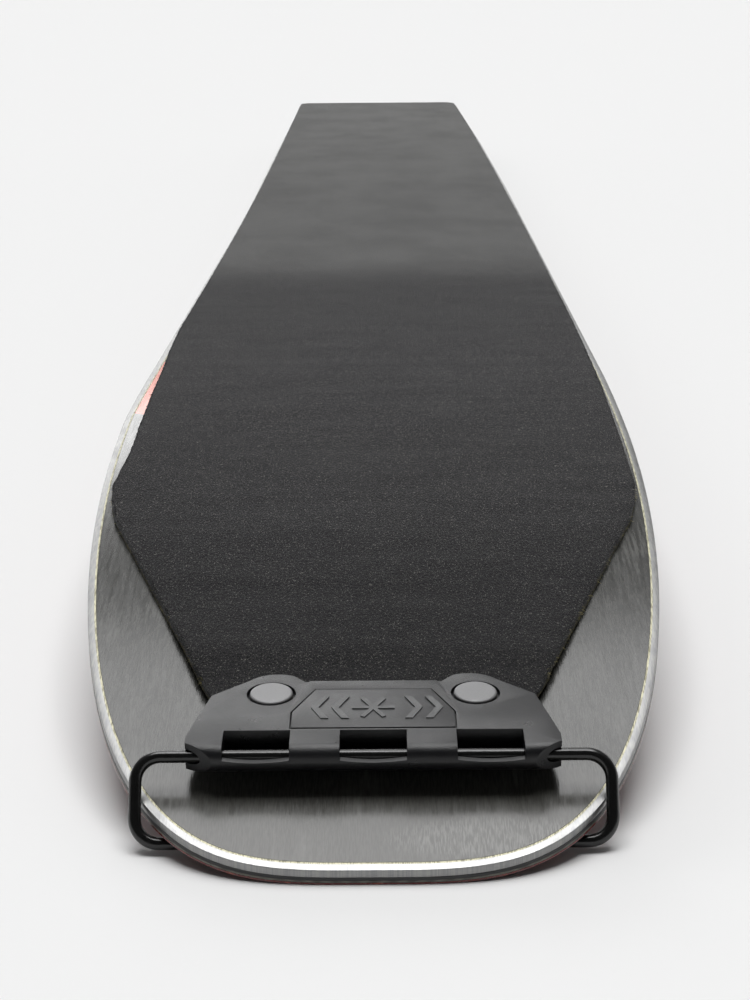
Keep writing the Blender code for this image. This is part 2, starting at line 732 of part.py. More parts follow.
def make_bail():
    """The wire loop round the nose, a closed loop with round corners about its top bar."""
    s = BAIL_AT
    frame = frame_empty("bail_hinge", s, base_z(s) + BAIL_LIFT)
    drop = Vector((0, -BAIL_FORWARD, -BAIL_DOWN))
    across = Vector((1, 0, 0))
    down = drop.normalized()
    height = drop.length
    centres = ((BAIL_HALF_WIDTH - BAIL_CORNER, BAIL_CORNER, 0),
               (BAIL_HALF_WIDTH - BAIL_CORNER, height - BAIL_CORNER, 90),
               (-BAIL_HALF_WIDTH + BAIL_CORNER, height - BAIL_CORNER, 180),
               (-BAIL_HALF_WIDTH + BAIL_CORNER, BAIL_CORNER, 270))
    points = []
    for x, depth, start in centres:
        for step in range(6):
            angle = math.radians(start - 90 + 18 * step)
            u = x + BAIL_CORNER * math.cos(angle)
            v = depth + BAIL_CORNER * math.sin(angle)
            points.append(across * u + down * v)
    curve = bpy.data.curves.new("tip_bail", "CURVE")
    curve.dimensions = "3D"
    curve.bevel_depth = WIRE_RADIUS
    curve.bevel_resolution = 2
    spline = curve.splines.new("POLY")
    spline.points.add(len(points) - 1)
    for target, point in zip(spline.points, points):
        target.co = (*point, 1.0)
    spline.use_cyclic_u = True
    curve.materials.append(principled(BLACK_STEEL))
    bail = bpy.data.objects.new("tip_bail", curve)
    bail.parent = frame
    PARTS.objects.link(bail)


# ---------------------------------------------------------------- skin's tail attachment

def buckle_plate(frame):
    """The cam buckle's plate, with an ear on each side for the pin."""
    half = BUCKLE_HALF_LENGTH
    plan = mirror_outline([(0.0, -half), (0.019, -half), (0.023, -0.010), (0.023, 0.010),
                           (0.019, half), (0.0, half)])
    plate = add_part("tail_buckle", prism(plan, 0.0, BUCKLE_PLATE), BLACK_PLASTIC)
    ear_profile = [(-0.009, BUCKLE_PLATE / 2), (0.009, BUCKLE_PLATE / 2), (0.0055, 0.0080),
                   (0.003, 0.0098), (-0.003, 0.0098), (-0.0055, 0.0080)]
    ears = join(side_prism(ear_profile, -0.0150, -0.0126), side_prism(ear_profile, 0.0126, 0.0150))
    ear_union = add_cutter("buckle_ears", ears)
    cut(plate, ear_union, "UNION")
    ear_union.parent = frame
    return plate


def cam_profile():
    """The lever's side profile: a round lobe about the pin, and a handle towards +Y."""
    angles = [math.radians(degrees) for degrees in range(60, 301, 20)]
    lobe = [(CAM_RADIUS * math.cos(a), CAM_HEIGHT + CAM_RADIUS * math.sin(a)) for a in angles]
    handle = [(0.0050, -0.0016), (0.0200, -0.0010), (0.0250, 0.0014), (0.0240, 0.0032),
              (0.0190, 0.0016), (0.0050, 0.0026)]
    return lobe + [(y, CAM_HEIGHT + z) for y, z in handle]


def make_buckle():
    """The cam buckle on the skin's tail end: plate with two ears, pin, lever, rivets."""
    frame = frame_empty("buckle_frame", BUCKLE_AT, base_z(BUCKLE_AT) + BUCKLE_LIFT,
                        base_pitch(BUCKLE_AT))
    plate = buckle_plate(frame)
    centre = (0, CAM_HEIGHT)
    pin_bore_mesh = cylinder(CAM_PIN_RADIUS + GAP, -0.02, 0.02, centre, 16, "X")
    pin_bore = add_cutter("cam_pin_bore", pin_bore_mesh)
    rivet_bore_mesh = bmesh.new()
    for x in (-BUCKLE_RIVET_X, BUCKLE_RIVET_X):
        bore = cylinder(0.0017, -0.01, 0.004, (x, 0.0), sides=12)
        rivet_bore_mesh = join(rivet_bore_mesh, bore)
    rivet_bores = add_cutter("buckle_rivet_bores", rivet_bore_mesh)
    cut(plate, pin_bore)
    cut(plate, rivet_bores)
    pin_mesh = cylinder(CAM_PIN_RADIUS, -0.0158, 0.0158, centre, 16, "X")
    pin = add_part("cam_pin", pin_mesh, STEEL, smooth=True)
    lever = add_part("cam_lever", side_prism(cam_profile(), -0.0122, 0.0122), BLACK_PLASTIC)
    cut(lever, pin_bore)
    for item in (plate, pin_bore, rivet_bores, pin, lever):
        item.parent = frame
    for name, x in (("buckle_rivet_left", -BUCKLE_RIVET_X), ("buckle_rivet_right", BUCKLE_RIVET_X)):
        profile = [(0.0, 0.0028), (0.0020, 0.0026), (0.0032, 0.0021), (0.0032, 0.0016),
                   (0.0014, 0.0016), (0.0014, -0.0019), (0.0, -0.0019)]
        rivet = add_part(name, turned(profile), RIVET_GREY, smooth=True)
        rivet.location = (x, 0, 0)
        rivet.parent = frame
    return rivet_bores


def strap_bottom(s):
    """The strap runs level over the buckle's plate and then down to the base."""
    over_buckle = BUCKLE_LIFT + BUCKLE_PLATE + STRAP_OVER_PLATE
    run = (s - BUCKLE_AT - BUCKLE_HALF_LENGTH) / STRAP_RAMP
    return over_buckle + (STRAP_OVER_BASE - over_buckle) * smooth_step(run)


def make_strap():
    """The strap from the buckle over the tail, up to the hook's end fitting."""
    start = BUCKLE_AT - BUCKLE_HALF_LENGTH
    end = HOOK_PIN_AT - 0.0042
    half = STRAP_HALF_WIDTH
    outline = [(-half, start), (half, start), (half, end), (-half, end)]
    sheet = bent_sheet(outline, lambda s: strap_bottom(s) + STRAP_THICKNESS, strap_bottom)
    add_part("tail_strap", sheet, WEBBING)


def make_end_fitting(pin_bore):
    """The strap's end fitting, round about the hook's pin."""
    angles = [math.radians(degrees) for degrees in range(-60, 91, 25)]
    nose = [(0.0026 * math.cos(a), 0.0026 * math.sin(a)) for a in angles]
    profile = [(-0.0036, -0.0022), (0.0, -0.0026), *nose, (-0.0036, 0.0016)]
    fitting = add_part("strap_end_fitting", side_prism(profile, -0.0075, 0.0075), ALUMINIUM)
    cut(fitting, pin_bore)
    return fitting


def make_hook():
    """The strap's end fitting, its pin, and the hook over the tail's end, in a frame on
    the pin's axis."""
    z = base_z(HOOK_PIN_AT) + 0.0032
    pitch = base_pitch(HOOK_PIN_AT)
    frame = frame_empty("hook_hinge", HOOK_PIN_AT, z, pitch)
    bore_mesh = cylinder(HOOK_PIN_RADIUS + GAP, -0.03, 0.03, (0, 0), 16, "X")
    pin_bore = add_cutter("hook_pin_bore", bore_mesh)
    fitting = make_end_fitting(pin_bore)
    pin_mesh = cylinder(HOOK_PIN_RADIUS, -0.0138, 0.0138, (0, 0), 16, "X")
    pin = add_part("hook_pin", pin_mesh, STEEL, smooth=True)
    along = BOARD_LENGTH - HOOK_PIN_AT
    drop = base_z(BOARD_LENGTH) - z
    edge_y = along * math.cos(pitch) + drop * math.sin(pitch)
    edge_z = drop * math.cos(pitch) - along * math.sin(pitch)
    low = edge_z + 0.0006
    high = low + 0.0026
    cheek = [(-0.0026, 0.0), (-0.0018, -0.0020), (0.0030, -0.0022), (edge_y - 0.004, low),
             (edge_y - 0.004, high), (0.0030, 0.0020), (0.0, 0.0026), (-0.0018, 0.0020)]
    inside = HOOK_HALF_WIDTH - CHEEK_WIDTH
    hook = add_part("tail_hook", side_prism(cheek, -HOOK_HALF_WIDTH, -inside), STEEL)
    other = add_cutter("hook_cheek", side_prism(cheek, inside, HOOK_HALF_WIDTH))
    inner_y = edge_y + 0.0006
    foot_y = inner_y - math.sin(pitch) * HOOK_TOOTH
    foot_z = low - math.cos(pitch) * HOOK_TOOTH
    tooth = [(edge_y - 0.0060, low), (inner_y, low), (foot_y, foot_z),
             (foot_y + 0.0014, foot_z + 0.0004), (inner_y + 0.0020, low + 0.0014),
             (inner_y + 0.0006, high), (edge_y - 0.0060, high)]
    bridge = add_cutter("hook_bridge", side_prism(tooth, -HOOK_HALF_WIDTH, HOOK_HALF_WIDTH))
    cut(hook, bridge, "UNION")
    cut(hook, other, "UNION")
    cut(hook, pin_bore)
    for item in (fitting, pin_bore, pin, hook, other, bridge):
        item.parent = frame


def main():
    outline = board_outline()
    bores = bore_cutter()
    make_base_side(outline)
    make_core(outline, bores)
    make_topside(outline, bores)
    for index, (x, s) in enumerate(insert_places()):
        make_insert(index, x, s)
    for index, s in enumerate(CLIP_STATIONS):
        make_clip(index, s)
    rivet_bores = make_connector()
    buckle_bores = make_buckle()
    make_skin((rivet_bores, buckle_bores))
    make_clamp_plate(rivet_bores)
    make_bail()
    make_strap()
    make_hook()
    bpy.context.view_layer.update()


main()
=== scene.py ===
"""The looks of one half of a splitboard in ski mode, lying base up with its climbing skin.

Lengths are metres. The nose points to -Y, the tail to +Y and the straight inner edge is at
+X. Plan functions take s, the distance from the nose tip. Small assemblies are built in
their own frames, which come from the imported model's joints.
"""
import json
import math
import random

import bmesh
import bpy
from mathutils import Matrix, Vector, noise


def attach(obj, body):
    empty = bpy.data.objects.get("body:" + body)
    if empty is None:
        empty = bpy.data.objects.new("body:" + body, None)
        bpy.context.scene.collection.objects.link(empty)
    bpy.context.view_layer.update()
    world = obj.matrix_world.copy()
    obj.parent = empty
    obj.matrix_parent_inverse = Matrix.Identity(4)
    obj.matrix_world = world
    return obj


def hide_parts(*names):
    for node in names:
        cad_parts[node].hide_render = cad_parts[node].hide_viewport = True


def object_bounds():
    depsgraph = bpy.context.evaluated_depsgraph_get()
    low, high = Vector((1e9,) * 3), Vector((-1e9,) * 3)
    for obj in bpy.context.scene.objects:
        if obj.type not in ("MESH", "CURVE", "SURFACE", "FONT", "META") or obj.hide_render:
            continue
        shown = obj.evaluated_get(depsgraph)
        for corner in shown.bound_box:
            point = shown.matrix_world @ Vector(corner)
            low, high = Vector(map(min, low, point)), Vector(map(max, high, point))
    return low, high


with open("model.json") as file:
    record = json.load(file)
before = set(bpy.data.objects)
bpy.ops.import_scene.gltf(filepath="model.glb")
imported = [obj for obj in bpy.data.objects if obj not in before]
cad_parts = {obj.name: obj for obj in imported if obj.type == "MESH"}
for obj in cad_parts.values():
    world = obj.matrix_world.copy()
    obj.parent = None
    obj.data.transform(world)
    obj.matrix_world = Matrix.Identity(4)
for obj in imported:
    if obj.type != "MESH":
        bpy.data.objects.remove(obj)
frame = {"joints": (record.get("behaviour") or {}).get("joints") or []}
bpy.context.view_layer.update()
CAD_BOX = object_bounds()

# Board outline and profile, as in the CAD
BOARD_LENGTH = 1.580
NOSE_LENGTH = 0.207
NOSE_HALF_WIDTH = 0.074
NOSE_FULLNESS = 2.69
NOSE_BLUNTNESS = 3.48
WAIST_AT = 0.760
TAIL_AT = 1.395
SIDECUT = 0.009
TAIL_FLARE = 0.004
NOSE_CREST = 0.257
NOSE_DROP = 0.0397
TAIL_CREST = 1.400
TAIL_DROP = 0.0414
TIP_EXPONENT = 2.17
ROCKER = 0.005
TIP_THICKNESS = 0.0032
BODY_THICKNESS = 0.0080
TAPER_START = 0.150
TAPER_LENGTH = 0.340

# Laminate, as depths below the base surface or up from the topsheet's face
EDGE_WIDTH = 0.0020
EDGE_DEPTH = 0.0016
EDGE_SEAM = 0.00045
BASE_SHEET_DEPTH = 0.0011
LOWER_LAMINATE_DEPTH = 0.0016
TOPSHEET_THICKNESS = 0.0004
UPPER_LAMINATE_THICKNESS = 0.0004
SIDEWALL_WIDTH = 0.007
CORE_START = 0.215
CORE_END = 1.400
FIT = 0.00005
GAP = 0.0003
ROUNDING = 0.0003

# Skin
SKIN_HALF_WIDTH = 0.0702
SKIN_EDGE_MARGIN = 0.0015
SKIN_WANDER = 0.0020
SKIN_CORNER_AT = 0.146
SKIN_FRONT_AT = 0.0365
SKIN_TAPER_AT = 1.405
SKIN_TAIL_AT = 1.537
SKIN_NOSE_CUT = ((0.0365, 0.0300), (0.0500, 0.0375), (0.1255, 0.0664), (0.1360, 0.0690))
SKIN_TAIL_CUT = ((1.4700, 0.0580), (1.5150, 0.0400), (SKIN_TAIL_AT, 0.0260))
BACKING_THICKNESS = 0.0006
PILE_THICKNESS = 0.0017
PILE_CLAMPED = 0.0010
CLAMP_LIFT = 0.0015
CLAMP_THICKNESS = 0.0011
CLAMP_CORNERS = ((0.0375, 0.0270), (0.0460, 0.0290), (0.0520, 0.0250))
CLAMP_END = 0.054

# Tip connector, rivets and bail, in the connector's own frame
WIRE_RADIUS = 0.00135
BAIL_HALF_WIDTH = 0.0496
BAIL_FORWARD = 0.0084
BAIL_DOWN = 0.01575
BAIL_CORNER = 0.0052
CONNECTOR_PITCH = math.radians(6.75)
BARREL_RADIUS = 0.0031
WINDOW_HALF_WIDTH = 0.0070
WINDOW_PITCH = 0.0245
RIVET_X = 0.0223
RIVET_Y = 0.0214
RIVET_HEAD_RADIUS = 0.0047
RIVET_SEAT = 0.0020
RIVET_BORE = 0.0019
RIVET_RECESS = 0.0054
EMBLEM_FLOOR = 0.0026
EAR_CREASE_Y = 0.0115
EAR_SLOPE = math.radians(1.0)

# Tail attachment, clips and inserts
BUCKLE_AT = 1.515
BUCKLE_LIFT = 0.0021
BUCKLE_HALF_LENGTH = 0.014
BUCKLE_PLATE = 0.0014
BUCKLE_RIVET_X = 0.0190
BUCKLE_RIVET_BORE = 0.0017
CAM_HEIGHT = 0.0068
CAM_RADIUS = 0.0030
CAM_PIN_RADIUS = 0.0015
STRAP_HALF_WIDTH = 0.0110
STRAP_THICKNESS = 0.0015
STRAP_OVER_PLATE = 0.0006
STRAP_OVER_BASE = 0.0004
STRAP_RAMP = 0.024
HOOK_PIN_AT = 1.5670
HOOK_TOOTH = 0.0026
HOOK_PIN_RADIUS = 0.0012
HOOK_HALF_WIDTH = 0.0130
CHEEK_WIDTH = 0.0050
CLIP_STATIONS = (0.300, 0.520, 1.080, 1.300)
CLIP_INSET = 0.013
CLIP_FIXING = (-0.002, -0.0145)
INSERT_RADIUS = 0.0042
INSERT_DEPTH = 0.0040
INSERT_STATIONS = (0.640, 0.680, 0.780, 0.960, 1.000)
INSERT_X = (0.012, 0.050)

FRONT = CAD_BOX[0].y
JOINTS = {joint["name"]: joint for joint in frame["joints"]}

# Camera
CAMERA_AT = (0.0017, -1.1280, 0.1775)
CAMERA_PITCH = 0.28215
CAMERA_YAW = -0.00263
CAMERA_ROLL = -0.00786
CAMERA_LENS = 67.18

# Studio light: the softbox overhead in x/z and y/z, the panel behind in angles from +Y and up
CEILING_ACROSS = (-0.38, 0.38)
CEILING_ALONG = (-0.06, 0.91)
CEILING_SOFT = 0.06
CEILING_LIGHT = 2.9
LAMP_ALONG = (-0.06, 0.30)
LAMP_LIGHT = 5.8
PANEL_AZIMUTH = (math.radians(-35), math.radians(6))
PANEL_ELEVATION = (math.radians(18), math.radians(31))
PANEL_SOFT = math.radians(3)
PANEL_LIGHT = 4.2
WALL_TOP = (math.radians(8), math.radians(15))
WALL_LIGHT = 1.0
FILL_LIGHT = 0.25
FRONT_LIGHT = 0.16
FLOOR_TONE = 0.805


# ---------------------------------------------------------------- plan and profile

def smooth_step(value):
    value = min(1.0, max(0.0, value))
    return value * value * (3 - 2 * value)


def nose_edge(s):
    reach = max(0.0, (NOSE_LENGTH - s) / NOSE_LENGTH)
    return NOSE_HALF_WIDTH * max(0.0, 1 - reach ** NOSE_FULLNESS) ** (1 / NOSE_BLUNTNESS)


def body_edge(s, side):
    if side > 0:
        return NOSE_HALF_WIDTH
    if s < WAIST_AT:
        run = (s - NOSE_LENGTH) / (WAIST_AT - NOSE_LENGTH)
        return NOSE_HALF_WIDTH - SIDECUT * (1 - (1 - run) ** 2)
    run = (s - WAIST_AT) / (TAIL_AT - WAIST_AT)
    return NOSE_HALF_WIDTH - SIDECUT + TAIL_FLARE * run ** 2


def edge_x(s, side):
    """The board edge's X at s, on the inner side (+1) or the outer side (-1)."""
    if s <= NOSE_LENGTH:
        return side * nose_edge(s)
    if s <= TAIL_AT:
        return side * body_edge(s, side)
    inner = body_edge(TAIL_AT, 1)
    outer = -body_edge(TAIL_AT, -1)
    reach = min(1.0, (s - TAIL_AT) / (BOARD_LENGTH - TAIL_AT))
    half = (inner - outer) / 2 * (1 - reach ** NOSE_FULLNESS) ** (1 / NOSE_BLUNTNESS)
    return (inner + outer) / 2 + side * half


def profile(s):
    middle = (NOSE_CREST + TAIL_CREST) / 2
    half = (TAIL_CREST - NOSE_CREST) / 2
    nose = max(0.0, (NOSE_CREST - s) / NOSE_CREST)
    tail = max(0.0, (s - TAIL_CREST) / (BOARD_LENGTH - TAIL_CREST))
    bow = ROCKER * ((s - middle) / half) ** 2
    return -bow - NOSE_DROP * nose ** TIP_EXPONENT - TAIL_DROP * tail ** TIP_EXPONENT


def thickness(s):
    from_end = min(s, BOARD_LENGTH - s)
    grown = smooth_step((from_end - TAPER_START) / TAPER_LENGTH)
    return TIP_THICKNESS + (BODY_THICKNESS - TIP_THICKNESS) * grown


FLOOR = profile(0) - thickness(0)


def base_z(s):
    """Height of the base surface over the floor."""
    return profile(s) - FLOOR


def topsheet_z(s):
    return base_z(s) - thickness(s)


def slope(height, s, reach=0.006):
    return math.atan2(height(s + reach) - height(s - reach), 2 * reach)


def spaced_rows(start, end, spacing):
    count = max(1, round((end - start) / spacing))
    return [start + (end - start) * step / count for step in range(count + 1)]


def board_rows(spacing=0.004):
    """Distances from the nose at which the laminates have points, crowded at the tips."""
    tip_steps = 70
    angles = [math.radians(1 + 89 * (step / tip_steps) ** 1.5) for step in range(tip_steps)]
    arcs = [1 - math.cos(angle) ** (2 / NOSE_FULLNESS) for angle in angles]
    nose = [NOSE_LENGTH * arc for arc in arcs]
    tail = [BOARD_LENGTH - (BOARD_LENGTH - TAIL_AT) * arc for arc in arcs]
    even = spaced_rows(0.004, BOARD_LENGTH - 0.004, spacing)
    rows = []
    for s in sorted(nose + even + tail):
        gap = math.hypot(s - rows[-1], edge_x(s, 1) - edge_x(rows[-1], 1)) if rows else 1.0
        if gap > 0.0006:
            rows.append(s)
    return rows


ROWS = board_rows()


def board_sides():
    """The outline as two lists of plan points with one row each: inner and outer side."""
    return ([(edge_x(s, 1), s) for s in ROWS], [(edge_x(s, -1), s) for s in ROWS])


def inset_sides(sides, distance):
    """Both sides of the outline, moved inwards."""
    inner, outer = sides
    points = [Vector(p) for p in inner + outer[::-1]]
    moved = []
    for index, here in enumerate(points):
        before = (here - points[index - 1]).normalized()
        after = (points[(index + 1) % len(points)] - here).normalized()
        normal_a = Vector((-before.y, before.x))
        normal_b = Vector((-after.y, after.x))
        bisector = (normal_a + normal_b).normalized()
        moved.append(tuple(here + bisector * (distance / max(0.5, bisector.dot(normal_a)))))
    count = len(inner)
    return moved[:count], moved[count:][::-1]


# ---------------------------------------------------------------- mesh helpers

def new_piece(name, bm, smooth_angle=35):
    bmesh.ops.recalc_face_normals(bm, faces=bm.faces[:])
    mesh = bpy.data.meshes.new(name)
    bm.to_mesh(mesh)
    bm.free()
    piece = bpy.data.objects.new(name, mesh)
    bpy.context.scene.collection.objects.link(piece)
    mesh.shade_smooth()
    mesh.set_sharp_from_angle(angle=math.radians(smooth_angle))
    return piece


def settle(piece, smooth_angle=35):
    """Applies the piece's modifiers to its mesh."""
    graph = bpy.context.evaluated_depsgraph_get()
    graph.update()
    mesh = bpy.data.meshes.new_from_object(piece.evaluated_get(graph))
    old = piece.data
    piece.modifiers.clear()
    piece.data = mesh
    bpy.data.meshes.remove(old)
    mesh.shade_smooth()
    mesh.set_sharp_from_angle(angle=math.radians(smooth_angle))


def combine(piece, bm, operation="DIFFERENCE"):
    """Cuts the piece with a closed mesh, or joins them."""
    tool = new_piece("tool", bm)
    boolean = piece.modifiers.new("boolean", "BOOLEAN")
    boolean.operation = operation
    boolean.object = tool
    settle(piece)
    bpy.data.objects.remove(tool)


def soften(piece, width, segments=3, angle=30, smooth_angle=50):
    """Rounds the piece's edges."""
    bm = bmesh.new()
    bm.from_mesh(piece.data)
    bmesh.ops.remove_doubles(bm, verts=bm.verts[:], dist=2e-6)
    bmesh.ops.dissolve_limit(bm, angle_limit=math.radians(0.6), verts=bm.verts[:],
                             edges=bm.edges[:], delimit={"MATERIAL"})
    bm.to_mesh(piece.data)
    bm.free()
    bevel = piece.modifiers.new("bevel", "BEVEL")
    bevel.width = width
    bevel.segments = segments
    bevel.limit_method = "ANGLE"
    bevel.angle_limit = math.radians(angle)
    bevel.harden_normals = False
    settle(piece, smooth_angle)


def lattice(rows, columns, place, ring=False):
    """A grid of quads: place(row, column) gives plan points. A ring closes on itself."""
    bm = bmesh.new()
    verts = [[bm.verts.new((*place(i, j), 0)) for j in range(columns)] for i in range(rows)]
    last = rows if ring else rows - 1
    for i in range(last):
        following = verts[(i + 1) % rows]
        for j in range(columns - 1):
            face = bm.faces.new((verts[i][j], verts[i][j + 1], following[j + 1], following[j]))
            face.material_index = j
    return bm


def ladder(sides):
    inner, outer = sides
    return lattice(len(inner), 2, lambda i, j: (outer[i], inner[i])[j])


def edge_ring(*lines):
    """Lanes between closed lines, from the outermost to the innermost."""
    loops = [line[0] + line[1][::-1] for line in lines]
    return lattice(len(loops[0]), len(loops), lambda i, j: loops[j][i], ring=True)


def two_skins(bm):
    """Extrudes all of an open mesh and gives its old and its new vertices."""
    old = bm.verts[:]
    raised = bmesh.ops.extrude_face_region(bm, geom=bm.faces[:])
    return old, [item for item in raised["geom"] if isinstance(item, bmesh.types.BMVert)]


def bend(bm, top, bottom):
    """Makes a plan mesh a solid bent to the board, with heights over the base surface."""
    under, over = two_skins(bm)
    for verts, height in ((under, bottom), (over, top)):
        for vert in verts:
            vert.co.z = base_z(vert.co.y) + height(vert.co.y)
    bmesh.ops.translate(bm, verts=bm.verts[:], vec=(0, FRONT, 0))
    return bm


def below_base(depth):
    return lambda s: -depth


def above_topsheet(height):
    return lambda s: height - thickness(s)


def extruded(points, axis, end):
    """A closed outline of points, carried along an axis to its end."""
    bm = bmesh.new()
    bm.faces.new([bm.verts.new(point) for point in points])
    for vert in two_skins(bm)[1]:
        vert.co[axis] = end
    return bm


def prism(outline, low, high):
    """A plan outline in x and y, from one height to another."""
    return extruded([(x, y, low) for x, y in outline], 2, high)


def side_prism(outline, left, right):
    """A side outline in y and z, from one x to another."""
    return extruded([(left, y, z) for y, z in outline], 0, right)


def arc(centre, radius, start, end, steps):
    """Points along an arc, its angles in degrees."""
    angles = [math.radians(start + (end - start) * step / steps) for step in range(steps + 1)]
    return [(centre[0] + radius * math.cos(a), centre[1] + radius * math.sin(a)) for a in angles]


def mirrored(right):
    return right + [(-x, y) for x, y in reversed(right) if x > 1e-9]


def rod(radius, low, high, centre=(0.0, 0.0), axis="Z", sides=40):
    bm = bmesh.new()
    bmesh.ops.create_cone(bm, cap_ends=True, segments=sides, radius1=radius, radius2=radius,
                          depth=high - low, matrix=Matrix.Translation((0, 0, (low + high) / 2)))
    if axis == "X":
        bmesh.ops.rotate(bm, verts=bm.verts[:], matrix=Matrix.Rotation(math.pi / 2, 3, "Y"))
        bmesh.ops.translate(bm, verts=bm.verts[:], vec=(0, centre[0], centre[1]))
    else:
        bmesh.ops.translate(bm, verts=bm.verts[:], vec=(centre[0], centre[1], 0))
    return bm


def turned(outline, steps=48):
    """Radii and heights from the top of the axis to its foot, spun round Z."""
    bm = bmesh.new()
    points = [bm.verts.new((radius, 0, z)) for radius, z in outline]
    edges = [bm.edges.new(pair) for pair in zip(points, points[1:])]
    bmesh.ops.spin(bm, geom=points + edges, axis=(0, 0, 1), cent=(0, 0, 0), steps=steps,
                   angle=math.tau, use_duplicate=False)
    bmesh.ops.remove_doubles(bm, verts=bm.verts[:], dist=1e-6)
    return bm


def gather(*meshes):
    """Several meshes in one bmesh, as separate bodies."""
    first = meshes[0]
    for other in meshes[1:]:
        spare = bpy.data.meshes.new("spare")
        other.to_mesh(spare)
        other.free()
        first.from_mesh(spare)
        bpy.data.meshes.remove(spare)
    return first


def moved(bm, matrix):
    bmesh.ops.transform(bm, matrix=matrix, verts=bm.verts[:])
    return bm


def place(piece, matrix):
    """Puts a piece made in its own frame where it belongs, in its mesh."""
    piece.data.transform(matrix)


def deliver(piece, slot, body, *nodes, looks=()):
    """Gives a finished piece its body and the materials named by its slot, or by its looks when
    these are given, and hides the CAD nodes it shows. Its looks are the materials of its lanes; a
    piece with one material forgets which lane a face is in."""
    looks = looks or (slot,)
    if len(looks) == 1:
        piece.data.materials.clear()
    for look in looks:
        piece.data.materials.append(MATERIALS[look])
    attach(piece, body)
    if nodes:
        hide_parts(*nodes)


# ---------------------------------------------------------------- material helpers

class Nodes:
    """Short calls that add shader nodes to a tree."""

    def __init__(self, tree):
        self.tree = tree

    def feed(self, socket, value):
        if isinstance(value, bpy.types.NodeSocket):
            self.tree.links.new(value, socket)
        else:
            socket.default_value = value

    def add(self, kind, **settings):
        node = self.tree.nodes.new(kind)
        for setting, value in settings.items():
            setattr(node, setting, value)
        return node

    def part(self, vector, name):
        split = self.add("ShaderNodeSeparateXYZ")
        self.feed(split.inputs[0], vector)
        return split.outputs[name]

    def math(self, operation, *values):
        node = self.add("ShaderNodeMath", operation=operation)
        for socket, value in zip(node.inputs, values):
            self.feed(socket, value)
        return node.outputs[0]

    def levels(self, value, low, high, start=0.0, end=1.0):
        node = self.add("ShaderNodeMapRange", interpolation_type="SMOOTHSTEP")
        for socket, number in zip(node.inputs, (value, low, high, start, end)):
            self.feed(socket, number)
        return node.outputs[0]

    def between(self, value, low, high, soft):
        """1 between the limits, falling to 0 over a soft margin."""
        rise = self.levels(value, low - soft, low + soft)
        fall = self.levels(value, high - soft, high + soft, 1.0, 0.0)
        return self.math("MULTIPLY", rise, fall)


class Paint(Nodes):
    """A Principled material and the textures behind it."""

    def __init__(self, name, colour, roughness, metallic=0.0, **sockets):
        self.material = bpy.data.materials.new(name)
        self.material.use_nodes = True
        super().__init__(self.material.node_tree)
        self.shader = self.tree.nodes["Principled BSDF"]
        self.put("Base Color", (*colour, 1.0))
        self.put("Roughness", roughness)
        self.put("Metallic", metallic)
        for socket, value in sockets.items():
            self.put(socket.replace("_", " "), value)
        self.where = self.add("ShaderNodeTexCoord").outputs["Object"]

    def put(self, socket, value):
        self.feed(self.shader.inputs[socket], value)

    def axis(self, name):
        return self.part(self.where, name)

    def scaled(self, size):
        mapping = self.add("ShaderNodeMapping")
        self.feed(mapping.inputs["Vector"], self.where)
        mapping.inputs["Scale"].default_value = [1 / length for length in size]
        return mapping.outputs["Vector"]

    def grain(self, size, detail=2.0, rough=0.5):
        """Noise from 0 to 1 whose features have this size along each axis."""
        texture = self.add("ShaderNodeTexNoise")
        self.feed(texture.inputs["Vector"], self.scaled(size))
        texture.inputs["Scale"].default_value = 1.0
        texture.inputs["Detail"].default_value = detail
        texture.inputs["Roughness"].default_value = rough
        return texture.outputs["Fac"]

    def cells(self, size):
        texture = self.add("ShaderNodeTexVoronoi")
        self.feed(texture.inputs["Vector"], self.scaled(size))
        texture.inputs["Scale"].default_value = 1.0
        return texture.outputs["Distance"]

    def waves(self, size, direction="X"):
        texture = self.add("ShaderNodeTexWave", bands_direction=direction)
        self.feed(texture.inputs["Vector"], self.scaled(size))
        texture.inputs["Scale"].default_value = 0.05
        return texture.outputs["Fac"]

    def weave(self, pitch):
        """Threads that cross along X and Y."""
        across = self.waves((pitch, 1, 1))
        return self.math("MAXIMUM", across, self.waves((1, pitch, 1), direction="Y"))

    def mix(self, share, first, second):
        node = self.add("ShaderNodeMixRGB")
        self.feed(node.inputs["Fac"], share)
        for socket, colour in (("Color1", first), ("Color2", second)):
            if not isinstance(colour, bpy.types.NodeSocket):
                colour = (*colour, 1.0)
            self.feed(node.inputs[socket], colour)
        return node.outputs["Color"]

    def tint(self, share, first, second):
        """Mixes two colours into the base colour."""
        self.put("Base Color", self.mix(share, first, second))

    def bump(self, height, depth):
        """Adds a relief of this depth in metres over the reliefs already there."""
        node = self.add("ShaderNodeBump")
        node.inputs["Distance"].default_value = depth
        self.feed(node.inputs["Height"], height)
        socket = self.shader.inputs["Normal"]
        if socket.is_linked:
            self.tree.links.new(socket.links[0].from_socket, node.inputs["Normal"])
        self.tree.links.new(node.outputs["Normal"], socket)


# ---------------------------------------------------------------- materials

